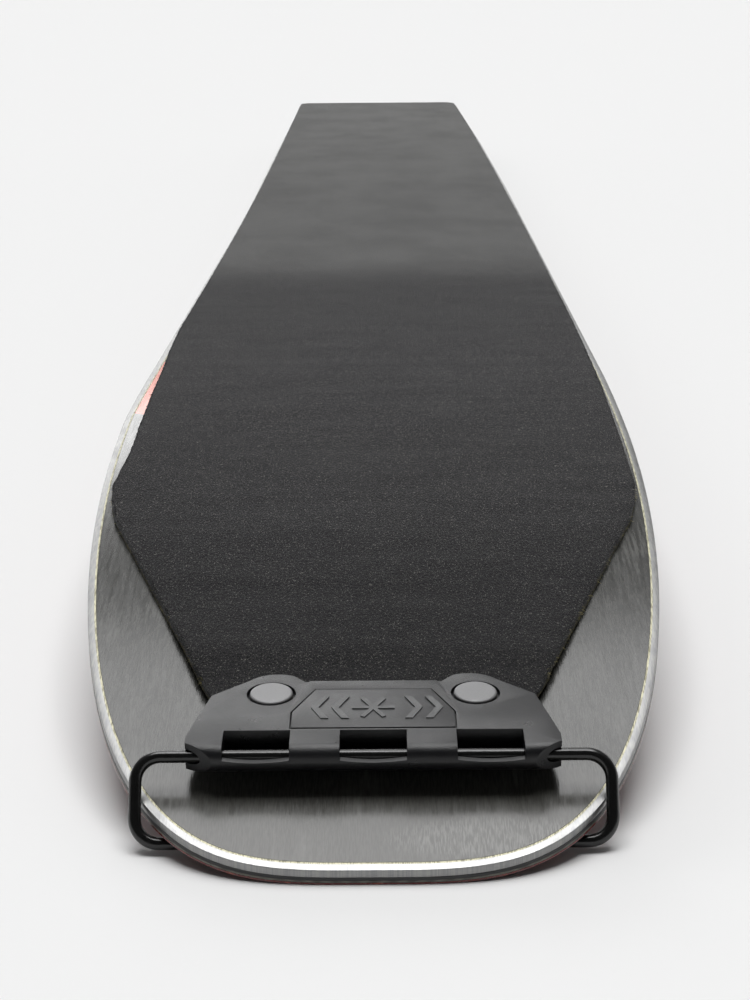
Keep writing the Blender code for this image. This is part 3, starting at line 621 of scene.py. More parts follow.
def sintered_base():
    """Black sintered base, stone ground along its length, with dried wax, a graphic and painted
    light near the nose tip.
    """
    paint = Paint("sintered_base", (0.03, 0.03, 0.03), 0.3, Specular_IOR_Level=0.72)
    lines = paint.grain((0.00028, 0.0026, 0.05), detail=2)
    strokes = paint.grain((0.0008, 0.012, 0.05), detail=2)
    haze = paint.grain((0.016, 0.030, 0.05), detail=4, rough=0.6)
    colour = paint.mix(paint.levels(lines, 0.32, 0.68),
                       (0.014, 0.014, 0.012), (0.046, 0.046, 0.041))
    dried = paint.math("MULTIPLY", paint.levels(haze, 0.52, 0.74), paint.levels(strokes, 0.35, 0.7))
    colour = paint.mix(paint.math("MULTIPLY", dried, 0.6), colour, (0.14, 0.14, 0.13))
    # Painted light: the first centimetres of the nose are drawn paler, filling the dark reflection
    # of the connector in the base.
    painted_light_near_tip = paint.levels(paint.axis("Y"), FRONT + 0.020, FRONT + 0.034, 0.34, 0.0)
    colour = paint.mix(painted_light_near_tip, colour, (0.125, 0.122, 0.110))
    brushed = paint.math("MULTIPLY", wax_patch(paint), paint.levels(lines, 0.42, 0.62))
    colour = paint.mix(paint.math("MULTIPLY", brushed, 0.4), colour, (0.28, 0.28, 0.265))
    colour = paint.mix(paint.math("MULTIPLY", base_graphic(paint), 0.9), colour, (0.72, 0.13, 0.06))
    paint.put("Base Color", colour)
    paint.put("Roughness", paint.levels(strokes, 0.2, 0.8, 0.18, 0.26))
    paint.bump(lines, 0.00002)
    paint.bump(strokes, 0.00002)
    return paint.material


def wax_patch(paint):
    """A patch of paler strokes near the tip of the nose, on the inner side."""
    across = paint.math("DIVIDE", paint.math("SUBTRACT", paint.axis("X"), 0.026), 0.024)
    run = paint.math("DIVIDE", paint.math("SUBTRACT", paint.axis("Y"), FRONT + 0.008), 0.006)
    away = paint.math("ADD", paint.math("POWER", paint.math("ABSOLUTE", across), 2.0),
                      paint.math("POWER", paint.math("ABSOLUTE", run), 2.0))
    return paint.levels(away, 0.2, 1.3, 1.0, 0.0)


def base_graphic(paint):
    """A plain slanted bar near the nose, on the outer side."""
    along = paint.math("ADD", paint.axis("Y"), paint.math("MULTIPLY", paint.axis("X"), 0.5))
    middle = FRONT + 0.243 - 0.5 * 0.070
    away = paint.math("ABSOLUTE", paint.math("SUBTRACT", along, middle))
    bar = paint.levels(away, 0.0325, 0.0335, 1.0, 0.0)
    return paint.math("MULTIPLY", bar, paint.levels(paint.axis("X"), -0.031, -0.030, 1.0, 0.0))


def edge_steel():
    """Ground steel edge with fine grinding ticks across its face."""
    paint = Paint("edge_steel", (0.25, 0.25, 0.26), 0.30, 1.0)
    ticks = paint.grain((0.00028, 0.0026, 0.05), detail=2)
    worn = paint.grain((0.008,) * 3, detail=3)
    colour = paint.mix(paint.levels(ticks, 0.3, 0.7), (0.24, 0.24, 0.245), (0.31, 0.31, 0.30))
    spots = paint.levels(worn, 0.5, 0.8, 0.0, 0.3)
    paint.tint(spots, colour, (0.19, 0.19, 0.21))
    paint.put("Roughness", paint.levels(worn, 0.3, 0.8, 0.36, 0.46))
    paint.bump(ticks, 0.00001)
    return paint.material


def edge_seam():
    """The steel's inner margin, ground together with the base and stained by its resin."""
    paint = Paint("edge_seam", (0.40, 0.39, 0.30), 0.5, 0.5)
    ticks = paint.grain((0.00030, 0.0022, 0.05), detail=2)
    share = paint.levels(ticks, 0.35, 0.6)
    paint.tint(share, (0.20, 0.19, 0.13), (0.52, 0.50, 0.36))
    paint.bump(ticks, 0.00003)
    return paint.material


def glass_laminate():
    paint = Paint("glass_laminate", (0.42, 0.44, 0.36), 0.45)
    weave = paint.weave(0.0006)
    paint.tint(weave, (0.075, 0.072, 0.060), (0.16, 0.155, 0.13))
    paint.bump(weave, 0.00004)
    return paint.material


def core_wood():
    paint = Paint("core_wood", (0.60, 0.43, 0.25), 0.6)
    strips = paint.cells((0.012, 5.0, 1.0))
    grain = paint.grain((0.0012, 0.06, 0.003), detail=5, rough=0.65)
    colour = paint.mix(grain, (0.36, 0.22, 0.11), (0.74, 0.56, 0.34))
    share = paint.levels(strips, 0.0, 0.5, 0.0, 0.35)
    paint.tint(share, colour, (0.50, 0.33, 0.18))
    paint.bump(grain, 0.00008)
    return paint.material


def sidewall_abs():
    paint = Paint("sidewall_abs", (0.02, 0.02, 0.021), 0.42)
    milled = paint.grain((0.01, 0.03, 0.00025), detail=2)
    scuffs = paint.grain((0.004, 0.008, 0.004), detail=4, rough=0.7)
    colour = paint.mix(paint.levels(scuffs, 0.6, 0.75), (0.018, 0.018, 0.019), (0.06, 0.06, 0.06))
    paint.put("Base Color", colour)
    paint.put("Roughness", paint.levels(milled, 0.3, 0.7, 0.34, 0.55))
    paint.bump(milled, 0.00003)
    return paint.material


def topsheet_red():
    """Glossy dark red topsheet that darkens towards the tail, with fine contour lines."""
    paint = Paint("topsheet", (0.12, 0.012, 0.010), 0.22, Coat_Weight=0.4, Coat_Roughness=0.08)
    terrain = paint.grain((0.10, 0.10, 1.0), detail=3, rough=0.5)
    steps = paint.math("FRACT", paint.math("MULTIPLY", terrain, 16.0))
    from_line = paint.math("ABSOLUTE", paint.math("SUBTRACT", steps, 0.5))
    contour = paint.levels(from_line, 0.02, 0.06, 0.65, 0.0)
    fade = paint.levels(paint.axis("Y"), -0.5, 0.6)
    colour = paint.mix(fade, (0.130, 0.012, 0.010), (0.020, 0.009, 0.011))
    colour = paint.mix(contour, colour, (0.30, 0.06, 0.035))
    speckle = paint.grain((0.0010,) * 3, detail=2)
    colour = paint.mix(paint.levels(speckle, 0.6, 0.75, 0.0, 0.25), colour, (0.35, 0.10, 0.07))
    paint.put("Base Color", colour)
    paint.put("Roughness", paint.levels(speckle, 0.3, 0.7, 0.18, 0.30))
    paint.bump(speckle, 0.00002)
    return paint.material


def plush():
    """Short black pile, with painted sheen that makes it paler from about 0.4 m from the nose
    towards the tail, painted glints on fibre ends and painted shade near the connector.
    """
    paint = Paint("skin_pile", (0.012, 0.012, 0.013), 0.9, Specular_IOR_Level=0.12,
                  Sheen_Weight=0.30, Sheen_Roughness=0.35, Sheen_Tint=(0.8, 0.8, 0.83, 1.0))
    tufts = paint.grain((0.00042, 0.0008, 0.0006), detail=3, rough=0.75)
    painted_glints = paint.grain((0.00030, 0.00045, 0.0004), detail=1)
    bands = paint.grain((0.05, 0.009, 0.05), detail=4, rough=0.65)
    cloud = paint.grain((0.035, 0.060, 0.05), detail=5, rough=0.6)
    # Painted sheen: the pile is drawn paler in a step about 0.4 m from the nose and more so towards
    # the tail, standing in for the sheen of the pile seen at a grazing angle.
    painted_sheen_step = paint.levels(paint.axis("Y"), FRONT + 0.395, FRONT + 0.47, 0.0, 0.62)
    painted_sheen_to_tail = paint.levels(paint.axis("Y"), FRONT + 0.30, FRONT + 1.40, 0.0, 0.30)
    colour = paint.mix(paint.levels(tufts, 0.3, 0.7), (0.001, 0.001, 0.0015), (0.034, 0.033, 0.035))
    colour = paint.mix(painted_sheen_step, colour, (0.142, 0.143, 0.139))
    colour = paint.mix(painted_sheen_to_tail, colour, (0.200, 0.201, 0.194))
    colour = paint.mix(paint.levels(cloud, 0.35, 0.70, 0.0, 0.34), colour, (0.019, 0.019, 0.019))
    colour = paint.mix(paint.levels(bands, 0.35, 0.75, 0.0, 0.10), colour, (0.13, 0.13, 0.13))
    # Painted glints: tiny bright specks put into the base colour of the pile.
    colour = paint.mix(paint.levels(painted_glints, 0.62, 0.72, 0.0, 0.85), colour, (0.27, 0.26, 0.24))
    # Painted shade: the pile is drawn darker close to the connector.
    painted_shade_near_connector = paint.levels(paint.axis("Y"), FRONT + 0.055, FRONT + 0.15, 0.36, 0.0)
    paint.tint(painted_shade_near_connector, colour, (0.003, 0.003, 0.003))
    paint.bump(tufts, 0.00035)
    return paint.material


def thread(name, low, high):
    paint = Paint(name, high, 0.8, Sheen_Weight=0.3)
    tone = paint.grain((0.003,) * 3, detail=3)
    paint.tint(paint.levels(tone, 0.35, 0.65), low, high)
    paint.bump(paint.grain((0.0001,) * 3), 0.00005)
    return paint.material


def backing_cloth():
    """Coated backing cloth with random olive stains, which show at its cut edge."""
    paint = Paint("skin_backing", (0.05, 0.045, 0.025), 0.8)
    weave = paint.weave(0.0004)
    stain = paint.grain((0.002,) * 3, detail=4, rough=0.7)
    colour = paint.mix(weave, (0.020, 0.018, 0.011), (0.060, 0.055, 0.030))
    paint.tint(paint.levels(stain, 0.5, 0.7), colour, (0.16, 0.14, 0.06))
    paint.bump(weave, 0.00008)
    return paint.material


def moulded_black(name="moulded_plastic", colour=(0.005, 0.005, 0.006), roughness=0.31, gloss=0.46):
    """Black moulded plastic with a fine spark-eroded grain and rubbed spots."""
    paint = Paint(name, colour, roughness, Specular_IOR_Level=gloss)
    pits = paint.grain((0.00022,) * 3, detail=3, rough=0.65)
    rubbed = paint.grain((0.006,) * 3, detail=4, rough=0.6)
    lighter = tuple(c * 2.4 for c in colour)
    paint.tint(paint.levels(pits, 0.45, 0.8), colour, lighter)
    paint.put("Roughness", paint.levels(rubbed, 0.35, 0.75, roughness + 0.05, roughness - 0.05))
    paint.bump(pits, 0.00007)
    return paint.material


def painted_metal(name, colour, roughness, metallic, depth=0.00001, wear=(0.3, 0.3, 0.3)):
    """Metal with a fine surface grain and small worn spots."""
    paint = Paint(name, colour, roughness, metallic)
    fine = paint.grain((0.0003,) * 3, detail=3)
    worn = paint.grain((0.0022,) * 3, detail=5, rough=0.75)
    darker = tuple(c * 0.75 for c in colour)
    lighter = tuple(c * 1.25 for c in colour)
    shade = paint.mix(fine, darker, lighter)
    paint.tint(paint.levels(worn, 0.62, 0.74, 0.0, 0.6), shade, wear)
    paint.put("Roughness", paint.levels(fine, 0.3, 0.7, roughness - 0.05, roughness + 0.07))
    paint.bump(fine, depth)
    return paint.material


def strap_rubber():
    paint = Paint("strap_rubber", (0.018, 0.018, 0.018), 0.6)
    ribs = paint.waves((0.0012, 1, 1))
    dust = paint.grain((0.0015, 0.004, 0.002), detail=4, rough=0.7)
    dusty = paint.levels(dust, 0.5, 0.75, 0, 0.5)
    paint.tint(dusty, (0.014, 0.014, 0.014), (0.05, 0.05, 0.048))
    paint.bump(ribs, 0.00012)
    return paint.material


def floor_paper():
    paint = Paint("floor_paper", (FLOOR_TONE,) * 3, 0.9, Specular_IOR_Level=0.0)
    fibre = paint.grain((0.004,) * 3, detail=2)
    paint.tint(fibre, (FLOOR_TONE - 0.002,) * 3, (FLOOR_TONE + 0.002,) * 3)
    return paint.material


MATERIALS = {
    "sintered_base": sintered_base(),
    "edge_steel": edge_steel(),
    "edge_seam": edge_seam(),
    "glass_laminate": glass_laminate(),
    "core_wood": core_wood(),
    "sidewall_abs": sidewall_abs(),
    "topsheet": topsheet_red(),
    "skin_pile": plush(),
    "skin_backing": backing_cloth(),
    "edge_fibres": thread("edge_fibres", (0.020, 0.017, 0.010), (0.50, 0.44, 0.20)),
    "connector_plastic": moulded_black(),
    "emblem_plastic": moulded_black("emblem_plastic", (0.010, 0.010, 0.011), 0.33, 0.52),
    # The raised emblem marks are drawn lighter than the plate: partly wear, partly a painted
    # highlight where light catches their tops.
    "emblem_relief_wear_and_painted_highlight": moulded_black("emblem_relief_wear_and_painted_highlight", (0.045, 0.046, 0.047), 0.34, 0.5),
    "rivet_metal": painted_metal("rivet_metal", (0.195, 0.195, 0.198), 0.40, 0.35, depth=0.00003),
    "black_wire": painted_metal("black_wire", (0.006, 0.006, 0.006), 0.20, 0.0,
                                wear=(0.020, 0.017, 0.014)),
    "black_steel": painted_metal("black_steel", (0.022, 0.022, 0.023), 0.32, 0.8),
    "clip_aluminium": painted_metal("clip_aluminium", (0.050, 0.050, 0.055), 0.36, 0.9),
    "insert_steel": painted_metal("insert_steel", (0.55, 0.55, 0.54), 0.34, 1.0,
                                  wear=(0.40, 0.38, 0.33)),
    "screw_steel": painted_metal("screw_steel", (0.58, 0.58, 0.58), 0.30, 1.0,
                                 wear=(0.42, 0.42, 0.42)),
    "hook_steel": painted_metal("hook_steel", (0.60, 0.60, 0.61), 0.28, 1.0,
                                wear=(0.45, 0.45, 0.46)),
    "strap_rubber": strap_rubber(),
}


# ---------------------------------------------------------------- board

CORE_TOP = below_base(LOWER_LAMINATE_DEPTH + FIT)
CORE_BOTTOM = TOPSHEET_THICKNESS + UPPER_LAMINATE_THICKNESS + 2 * FIT


def topsheet_bores():
    """Holes that the inserts and the clip screws take in the topsheet side."""
    bores = []
    for x, s in insert_places():
        z = topsheet_z(s)
        top = z + INSERT_DEPTH + 0.0002
        bores.append(rod(INSERT_RADIUS + 0.0002, z - 0.003, top, (x, s + FRONT)))
    for s in CLIP_STATIONS:
        x = edge_x(s, 1) - CLIP_INSET
        for dx, ds in ((0, 0), CLIP_FIXING):
            z = topsheet_z(s + ds)
            bores.append(rod(0.0022, z - 0.003, z + 0.0024, (x + dx, s + ds + FRONT), sides=24))
    return gather(*bores)


def insert_places():
    return [(x, s) for s in INSERT_STATIONS for x in INSERT_X]


def core_rows():
    return [CORE_START + FIT] + [s for s in ROWS if CORE_START < s < CORE_END] + [CORE_END - FIT]


def strip_between(rows, inner_x, outer_x):
    return ladder(([(inner_x(s), s) for s in rows], [(outer_x(s), s) for s in rows]))


def make_laminates():
    def inner(s, inset=0.0):
        return edge_x(s, 1) - inset

    def outer(s, inset=0.0):
        return edge_x(s, -1) + inset

    outline = board_sides()
    ring = inset_sides(outline, EDGE_WIDTH)
    seam = inset_sides(outline, EDGE_WIDTH - EDGE_SEAM)
    filling = inset_sides(outline, EDGE_WIDTH + FIT)
    rows = core_rows()
    lane = SIDEWALL_WIDTH + FIT
    bottom = above_topsheet(CORE_BOTTOM)
    nose_rows = [s for s in ROWS if s < CORE_START] + [CORE_START]
    tail_rows = [CORE_END] + [s for s in ROWS if s > CORE_END]
    plan = {
        "steel_edge": (edge_ring(outline, seam, ring),
                       below_base(0), below_base(EDGE_DEPTH), "edge_steel"),
        "base_sheet": (ladder(filling),
                       below_base(0), below_base(BASE_SHEET_DEPTH), "sintered_base"),
        "lower_laminate": (ladder(filling), below_base(BASE_SHEET_DEPTH + FIT),
                           below_base(LOWER_LAMINATE_DEPTH), "glass_laminate"),
        "wood_core": (strip_between(rows, lambda s: inner(s, lane), lambda s: outer(s, lane)),
                      CORE_TOP, bottom, "core_wood"),
        "sidewall_inner": (strip_between(rows, inner, lambda s: inner(s, SIDEWALL_WIDTH)),
                           CORE_TOP, bottom, "sidewall_abs"),
        "sidewall_outer": (strip_between(rows, lambda s: outer(s, SIDEWALL_WIDTH), outer),
                           CORE_TOP, bottom, "sidewall_abs"),
        "nose_spacer": (strip_between(nose_rows, inner, outer), CORE_TOP, bottom, "sidewall_abs"),
        "tail_spacer": (strip_between(tail_rows, inner, outer), CORE_TOP, bottom, "sidewall_abs"),
        "upper_laminate": (ladder(outline), above_topsheet(CORE_BOTTOM - FIT),
                           above_topsheet(TOPSHEET_THICKNESS + FIT), "glass_laminate"),
        "topsheet": (ladder(outline),
                     above_topsheet(TOPSHEET_THICKNESS), above_topsheet(0), "topsheet"),
    }
    for node, (bm, top, underside, slot) in plan.items():
        piece = new_piece("board_" + node, bend(bm, top, underside))
        if node in ("wood_core", "upper_laminate", "topsheet"):
            combine(piece, topsheet_bores())
        looks = ()
        if node == "steel_edge":
            soften(piece, 0.00022, segments=2, angle=60)
            looks = ("edge_steel", "edge_seam")
        deliver(piece, slot, "board", node, looks=looks)


# ---------------------------------------------------------------- climbing skin

def skin_lift(s):
    """The skin rises off the base where the clamp plate lies under it."""
    return CLAMP_LIFT * (1 - smooth_step((s - CLAMP_END) / 0.036)) + FIT


def backing_top(s):
    return skin_lift(s) + BACKING_THICKNESS


def pile_bottom(s):
    return backing_top(s) + FIT


def pile_top(s):
    grown = smooth_step((s - CLAMP_END) / 0.010)
    tail = smooth_step((s - BUCKLE_AT + 0.033) / 0.019)
    return pile_bottom(s) + PILE_CLAMPED + (PILE_THICKNESS - PILE_CLAMPED) * min(grown, 1 - tail)


def skin_edge(s, side):
    board = abs(edge_x(s, side)) - EDGE_WIDTH - 0.0001
    inner_growth = 0.0015 * smooth_step((s - 0.150) / 0.18) * (side > 0)
    outer_reach = (EDGE_WIDTH - SKIN_EDGE_MARGIN) * (side < 0)
    wander = smooth_step((s - 0.140) / 0.036) * (1 - smooth_step((s - 0.245) / 0.085))
    outer_cut = SKIN_WANDER * wander * (side < 0)
    return min(SKIN_HALF_WIDTH + inner_growth, board + outer_reach) - outer_cut


def along_corners(corners, s):
    """The width at s between corners, each given as distance and width."""
    for (low, first), (high, second) in zip(corners, corners[1:]):
        if s <= high:
            return first + (second - first) * (s - low) / (high - low)
    return corners[-1][1]


def skin_half(s, side):
    """Half width of the skin on one side, straight between the corners of its cut."""
    corners = [*SKIN_NOSE_CUT, (SKIN_CORNER_AT, skin_edge(SKIN_CORNER_AT, side))]
    if s >= SKIN_TAPER_AT:
        corners = [(SKIN_TAPER_AT, skin_edge(SKIN_TAPER_AT, side)), *SKIN_TAIL_CUT]
    elif s >= SKIN_CORNER_AT:
        return skin_edge(s, side)
    return along_corners(corners, s)


def ragged(s, side, layer):
    """How far the cut edge wanders at s."""
    place_on_edge = Vector((s * 700, side * 7.0, layer * 3.0))
    coarse = Vector((s * 160, side * 5.0, layer * 2.0))
    return 0.00022 * noise.noise(place_on_edge) + 0.00022 * noise.noise(coarse)


def skin_sheet(name, top, bottom, columns, spacing, layer, swell):
    rows = spaced_rows(SKIN_FRONT_AT, 0.34, spacing)
    rows += spaced_rows(0.34, SKIN_TAIL_AT, spacing * 2.2)[1:]

    def at(i, j):
        s = rows[i]
        share = j / (columns - 1)
        left = -skin_half(s, -1) - ragged(s, -1, layer)
        right = skin_half(s, 1) + ragged(s, 1, layer)
        eased = share + 0.035 * math.sin(math.tau * share)
        return (left + (right - left) * eased, s)

    bm = lattice(len(rows), columns, at)
    under, over = two_skins(bm)
    for vert in under:
        vert.co.z = base_z(vert.co.y) + bottom(vert.co.y)
    for vert in over:
        x, s = vert.co.x, vert.co.y
        room = min(x + skin_half(s, -1), skin_half(s, 1) - x)
        rounding = 1 - smooth_step(room / 0.0012)
        broad = noise.noise(Vector((x * 90, s * 60, layer)))
        lumps = broad + 0.6 * noise.noise(Vector((x * 320, s * 240, layer)))
        calm = smooth_step((s - 0.052) / 0.02)
        vert.co.z = base_z(s) + top(s) + swell * lumps * calm - swell * 3.0 * rounding * calm
    bmesh.ops.translate(bm, verts=bm.verts[:], vec=(0, FRONT, 0))
    return new_piece(name, bm, 60)


def skin_flat_area():
    rows = spaced_rows(SKIN_FRONT_AT, SKIN_TAIL_AT, 0.002)
    widths = [skin_half(s, -1) + skin_half(s, 1) for s in rows]
    steps = zip(rows, rows[1:], widths, widths[1:])
    return sum((b - a) * (width_a + width_b) / 2 for a, b, width_a, width_b in steps)


def fibre(bm, root, tip, radius):
    """One tapering fibre with a bend in it."""
    middle = root.lerp(tip, 0.5) + Vector((0, 0, 0.25)) * (tip - root).length * 0.5
    along = (tip - root).normalized()
    across = along.cross(Vector((0, 0, 1))).normalized()
    upward = across.cross(along)
    rings = []
    for centre, thick in ((root, radius), (middle, radius * 0.8)):
        corners = (across, upward * 0.87 - across * 0.5, -upward * 0.87 - across * 0.5)
        rings.append([bm.verts.new(centre + corner * thick) for corner in corners])
    end = bm.verts.new(tip)
    bm.faces.new(rings[0][::-1])
    for k in range(3):
        following = (k + 1) % 3
        bm.faces.new((rings[0][k], rings[0][following], rings[1][following], rings[1][k]))
        bm.faces.new((rings[1][k], rings[1][following], end))


def make_edge_fibres(name, seed, count, layer_height, reach):
    """Loose threads along the skin's cut edges."""
    draw = random.Random(seed)
    bm = bmesh.new()
    for _ in range(count):
        side = draw.choice((-1, 1))
        s = SKIN_FRONT_AT + 0.016 + (SKIN_TAIL_AT - SKIN_FRONT_AT - 0.024) * draw.random() ** 1.7
        half = skin_half(s, side) + ragged(s, side, 0)
        slant = (skin_half(s + 0.001, side) - skin_half(s - 0.001, side)) / 0.002
        outward = Vector((side, -slant, 0)).normalized()
        height = base_z(s) + layer_height(s, draw.random())
        root = Vector((side * (half - 0.0006), s + FRONT, height))
        lean = Vector((0, draw.uniform(-0.9, 1.3), draw.uniform(-0.5, 0.9)))
        tip = root + (outward + lean * 0.8).normalized() * (0.0006 + reach * draw.random() ** 2)
        tip.z = max(tip.z, base_z(tip.y - FRONT) + 0.0001)
        fibre(bm, root, tip, draw.uniform(0.00003, 0.00006))
    return new_piece(name, bm, 80)


def pair_of_holes(frame_of_holes, radius, low, high, x, y):
    return gather(*[moved(rod(radius, low, high, (side * x, y)), frame_of_holes)
                    for side in (-1, 1)])


def rivet_holes():
    return pair_of_holes(connector_frame(), RIVET_BORE, -0.02, 0.02, RIVET_X, RIVET_Y)


def buckle_holes():
    return pair_of_holes(buckle_frame(), BUCKLE_RIVET_BORE, -0.01, 0.004, BUCKLE_RIVET_X, 0.0)


def make_skin():
    area = skin_flat_area()
    backing = skin_sheet("skin_backing_sheet", backing_top, skin_lift, 12, 0.0030, 1, 0.0)
    pile = skin_sheet("skin_pile_sheet", pile_top, pile_bottom, 56, 0.0016, 0, 0.00010)
    for piece in (backing, pile):
        combine(piece, rivet_holes())
        combine(piece, buckle_holes())
    deliver(backing, "skin_backing", "board", "skin_backing")
    deliver(pile, "skin_pile", "board", "skin_pile")
    threads = make_edge_fibres("skin_edge_threads", 11, 4200,
                               lambda s, share: skin_lift(s) + 0.0004 + 0.0012 * share, 0.0011)
    deliver(threads, "skin_backing", "board", looks=("edge_fibres",))
    fringe = make_edge_fibres("skin_edge_pile", 12, 7000,
                              lambda s, share: pile_bottom(s) * (1 - share) + pile_top(s) * share,
                              0.0008)
    deliver(fringe, "skin_pile", "board")


# ---------------------------------------------------------------- tip connector and bail

def connector_frame():
    origin = Matrix.Translation(JOINTS["bail_swing"]["pos_m"])
    return origin @ Matrix.Rotation(CONNECTOR_PITCH, 4, "X")


def emblem_outline(grow):
    return mirrored([(0.0, 0.0062 - grow), (0.0174 + grow, 0.0062 - grow),
                     (0.0174 + grow, 0.0128 + grow / 2), (0.0126 + grow / 2, 0.0228 + grow),
                     (0.0, 0.0228 + grow)])


def connector_body():
    barrel = arc((0, 0), BARREL_RADIUS, 90, 270, 24)
    side = barrel + [(0.0110, -BARREL_RADIUS), (0.0118, -0.0011), (0.0310, 0.0021),
                     (0.0310, BARREL_RADIUS)]
    piece = new_piece("connector_body", side_prism(side, -0.045, 0.045))
    ear = arc((0.0212, 0.0229), 0.0078, 38, 118, 10)
    plan = [(0.0, -0.006), (0.0290, -0.006), (0.0393, 0.0003), (0.0393, 0.0034), (0.0353, 0.0208)]
    plan += ear + [(0.0150, 0.0269), (0.0, 0.0269)]
    combine(piece, prism(mirrored(plan), -0.02, 0.02), "INTERSECT")
    return piece


def ear_cut(side):
    """The space over an ear, which slopes down from its crease beside the raised middle."""
    plan = [(0.0187, EAR_CREASE_Y), (0.0420, EAR_CREASE_Y), (0.0420, 0.0340), (0.0128, 0.0340),
            (0.0142, 0.0262)]
    bm = prism([(side * x, y) for x, y in plan], 0.0, 0.010)
    for vert in bm.verts:
        if vert.co.z < 0.005:
            vert.co.z = BARREL_RADIUS - (vert.co.y - EAR_CREASE_Y) * math.tan(EAR_SLOPE)
    return bm


def window_cutters():
    """Three windows over the wire, with front lips that sag in the middle."""
    steps = 12
    cutters = []
    for x in (-WINDOW_PITCH, 0.0, WINDOW_PITCH):
        left = x - WINDOW_HALF_WIDTH
        lip = [(left + 2 * WINDOW_HALF_WIDTH * share, 0.0006 - 0.0005 * math.sin(math.pi * share))
               for share in (k / steps for k in range(steps + 1))]
        bm = prism([(x + WINDOW_HALF_WIDTH, 0.006), (left, 0.006)] + lip, -0.0060, 0.0053)
        bmesh.ops.rotate(bm, verts=bm.verts[:], matrix=Matrix.Rotation(math.pi / 2, 3, "X"))
        bmesh.ops.scale(bm, verts=bm.verts[:], vec=(1, -1, 1))
        cutters.append(bm)
    return gather(*cutters)


def window_relief():
    """Deepens the windows behind their front lips."""
    side = [(-0.0004, -0.0012), (0.0052, -0.0012), (0.0052, 0.0020), (-0.0004, 0.0020)]
    half = WINDOW_HALF_WIDTH - 0.00004
    places = (-WINDOW_PITCH, 0.0, WINDOW_PITCH)
    return gather(*[side_prism(side, x - half, x + half) for x in places])


def make_connector():
    piece = connector_body()
    for side in (-1, 1):
        combine(piece, ear_cut(side))
    combine(piece, window_cutters())
    combine(piece, prism(emblem_outline(GAP), EMBLEM_FLOOR - GAP, 0.01))
    soften(piece, 0.0004, angle=28)
    combine(piece, window_relief())
    combine(piece, rod(WIRE_RADIUS + GAP, -0.05, 0.05, axis="X"))
    for x in (-RIVET_X, RIVET_X):
        combine(piece, rod(RIVET_RECESS, RIVET_SEAT - GAP, 0.01, (x, RIVET_Y), sides=64))
        combine(piece, rod(RIVET_BORE, -0.02, 0.02, (x, RIVET_Y)))
    place(piece, connector_frame())
    deliver(piece, "connector_plastic", "board", "tip_connector")


def make_emblem():
    """The inset plate, with plain chevrons and a six-armed star as its relief."""
    high = BARREL_RADIUS + 0.0001
    plate = new_piece("emblem_base", prism(emblem_outline(0), EMBLEM_FLOOR, high))
    soften(plate, 0.00010, segments=2)
    place(plate, connector_frame())
    deliver(plate, "emblem_plastic", "board", "emblem_plate")
    marks = []
    for x in (-0.0112, -0.0068, 0.0068, 0.0112):
        lean = math.copysign(0.0022, x)
        chevron = [(x, 0.0098), (x + 0.0016, 0.0098), (x + 0.0016 + lean, 0.0145),
                   (x + 0.0016, 0.0192), (x, 0.0192), (x + lean, 0.0145)]
        marks.append(prism(chevron, high - 0.0001, high + 0.0002))
    arm = [(-0.0005, -0.0046), (0.0005, -0.0046), (0.0005, 0.0046), (-0.0005, 0.0046)]
    for step in range(3):
        bar = prism(arm, high - 0.0001, high + 0.0002 - 0.00001 * step)
        turn = Matrix.Rotation(math.radians(60 * step + 30), 4, "Z")
        marks.append(moved(bar, Matrix.Translation((0, 0.0145, 0)) @ turn))
    relief = new_piece("emblem_marks", gather(*marks))
    place(relief, connector_frame())
    # The marks use the lighter copy of the plate's plastic: partly wear, partly painted highlight.
    deliver(relief, "emblem_plastic", "board", looks=("emblem_relief_wear_and_painted_highlight",))


def make_rivets():
    """Flat-headed rivets with a small chamfer, turned about their own Z axis."""
    top = RIVET_SEAT + 0.0013
    rim = RIVET_HEAD_RADIUS
    shank = RIVET_BORE - GAP
    head = [(0.0, top), (rim - 0.00045, top), (rim - 0.00025, top - 0.00006),
            (rim - 0.00006, top - 0.00022), (rim, top - 0.00045), (rim, RIVET_SEAT),
            (shank, RIVET_SEAT), (shank, -0.0022), (shank - 0.0002, -0.0024), (0.0, -0.0024)]
    for name, x in (("rivet_left", -RIVET_X), ("rivet_right", RIVET_X)):
        piece = new_piece("head_of_" + name, turned(head, 72), 12)
        place(piece, connector_frame() @ Matrix.Translation((x, RIVET_Y, 0)))
        deliver(piece, "rivet_metal", "board", name)


def make_clamp_plate():
    rows = spaced_rows(CLAMP_CORNERS[0][0], CLAMP_CORNERS[-1][0], 0.0015)
    bm = strip_between(rows, lambda s: along_corners(CLAMP_CORNERS, s),
                       lambda s: -along_corners(CLAMP_CORNERS, s))
    piece = new_piece("clamp_plate", bend(bm, lambda s: 0.0002 + CLAMP_THICKNESS, lambda s: 0.0002))
    combine(piece, rivet_holes())
    deliver(piece, "connector_plastic", "board", "connector_clamp_plate")


def tube(name, points, radius):
    """A round wire along a loop of points."""
    curve = bpy.data.curves.new(name, "CURVE")
    curve.dimensions = "3D"
    curve.bevel_depth = radius
    curve.bevel_resolution = 5
    spline = curve.splines.new("POLY")
    spline.points.add(len(points) - 1)
    for target, point in zip(spline.points, points):
        target.co = (*point, 1.0)
    spline.use_cyclic_u = True
    holder = bpy.data.objects.new(name + "_curve", curve)
    bpy.context.scene.collection.objects.link(holder)
    graph = bpy.context.evaluated_depsgraph_get()
    mesh = bpy.data.meshes.new_from_object(holder.evaluated_get(graph))
    bpy.data.objects.remove(holder)
    piece = bpy.data.objects.new(name, mesh)
    bpy.context.scene.collection.objects.link(piece)
    mesh.shade_smooth()
    return piece


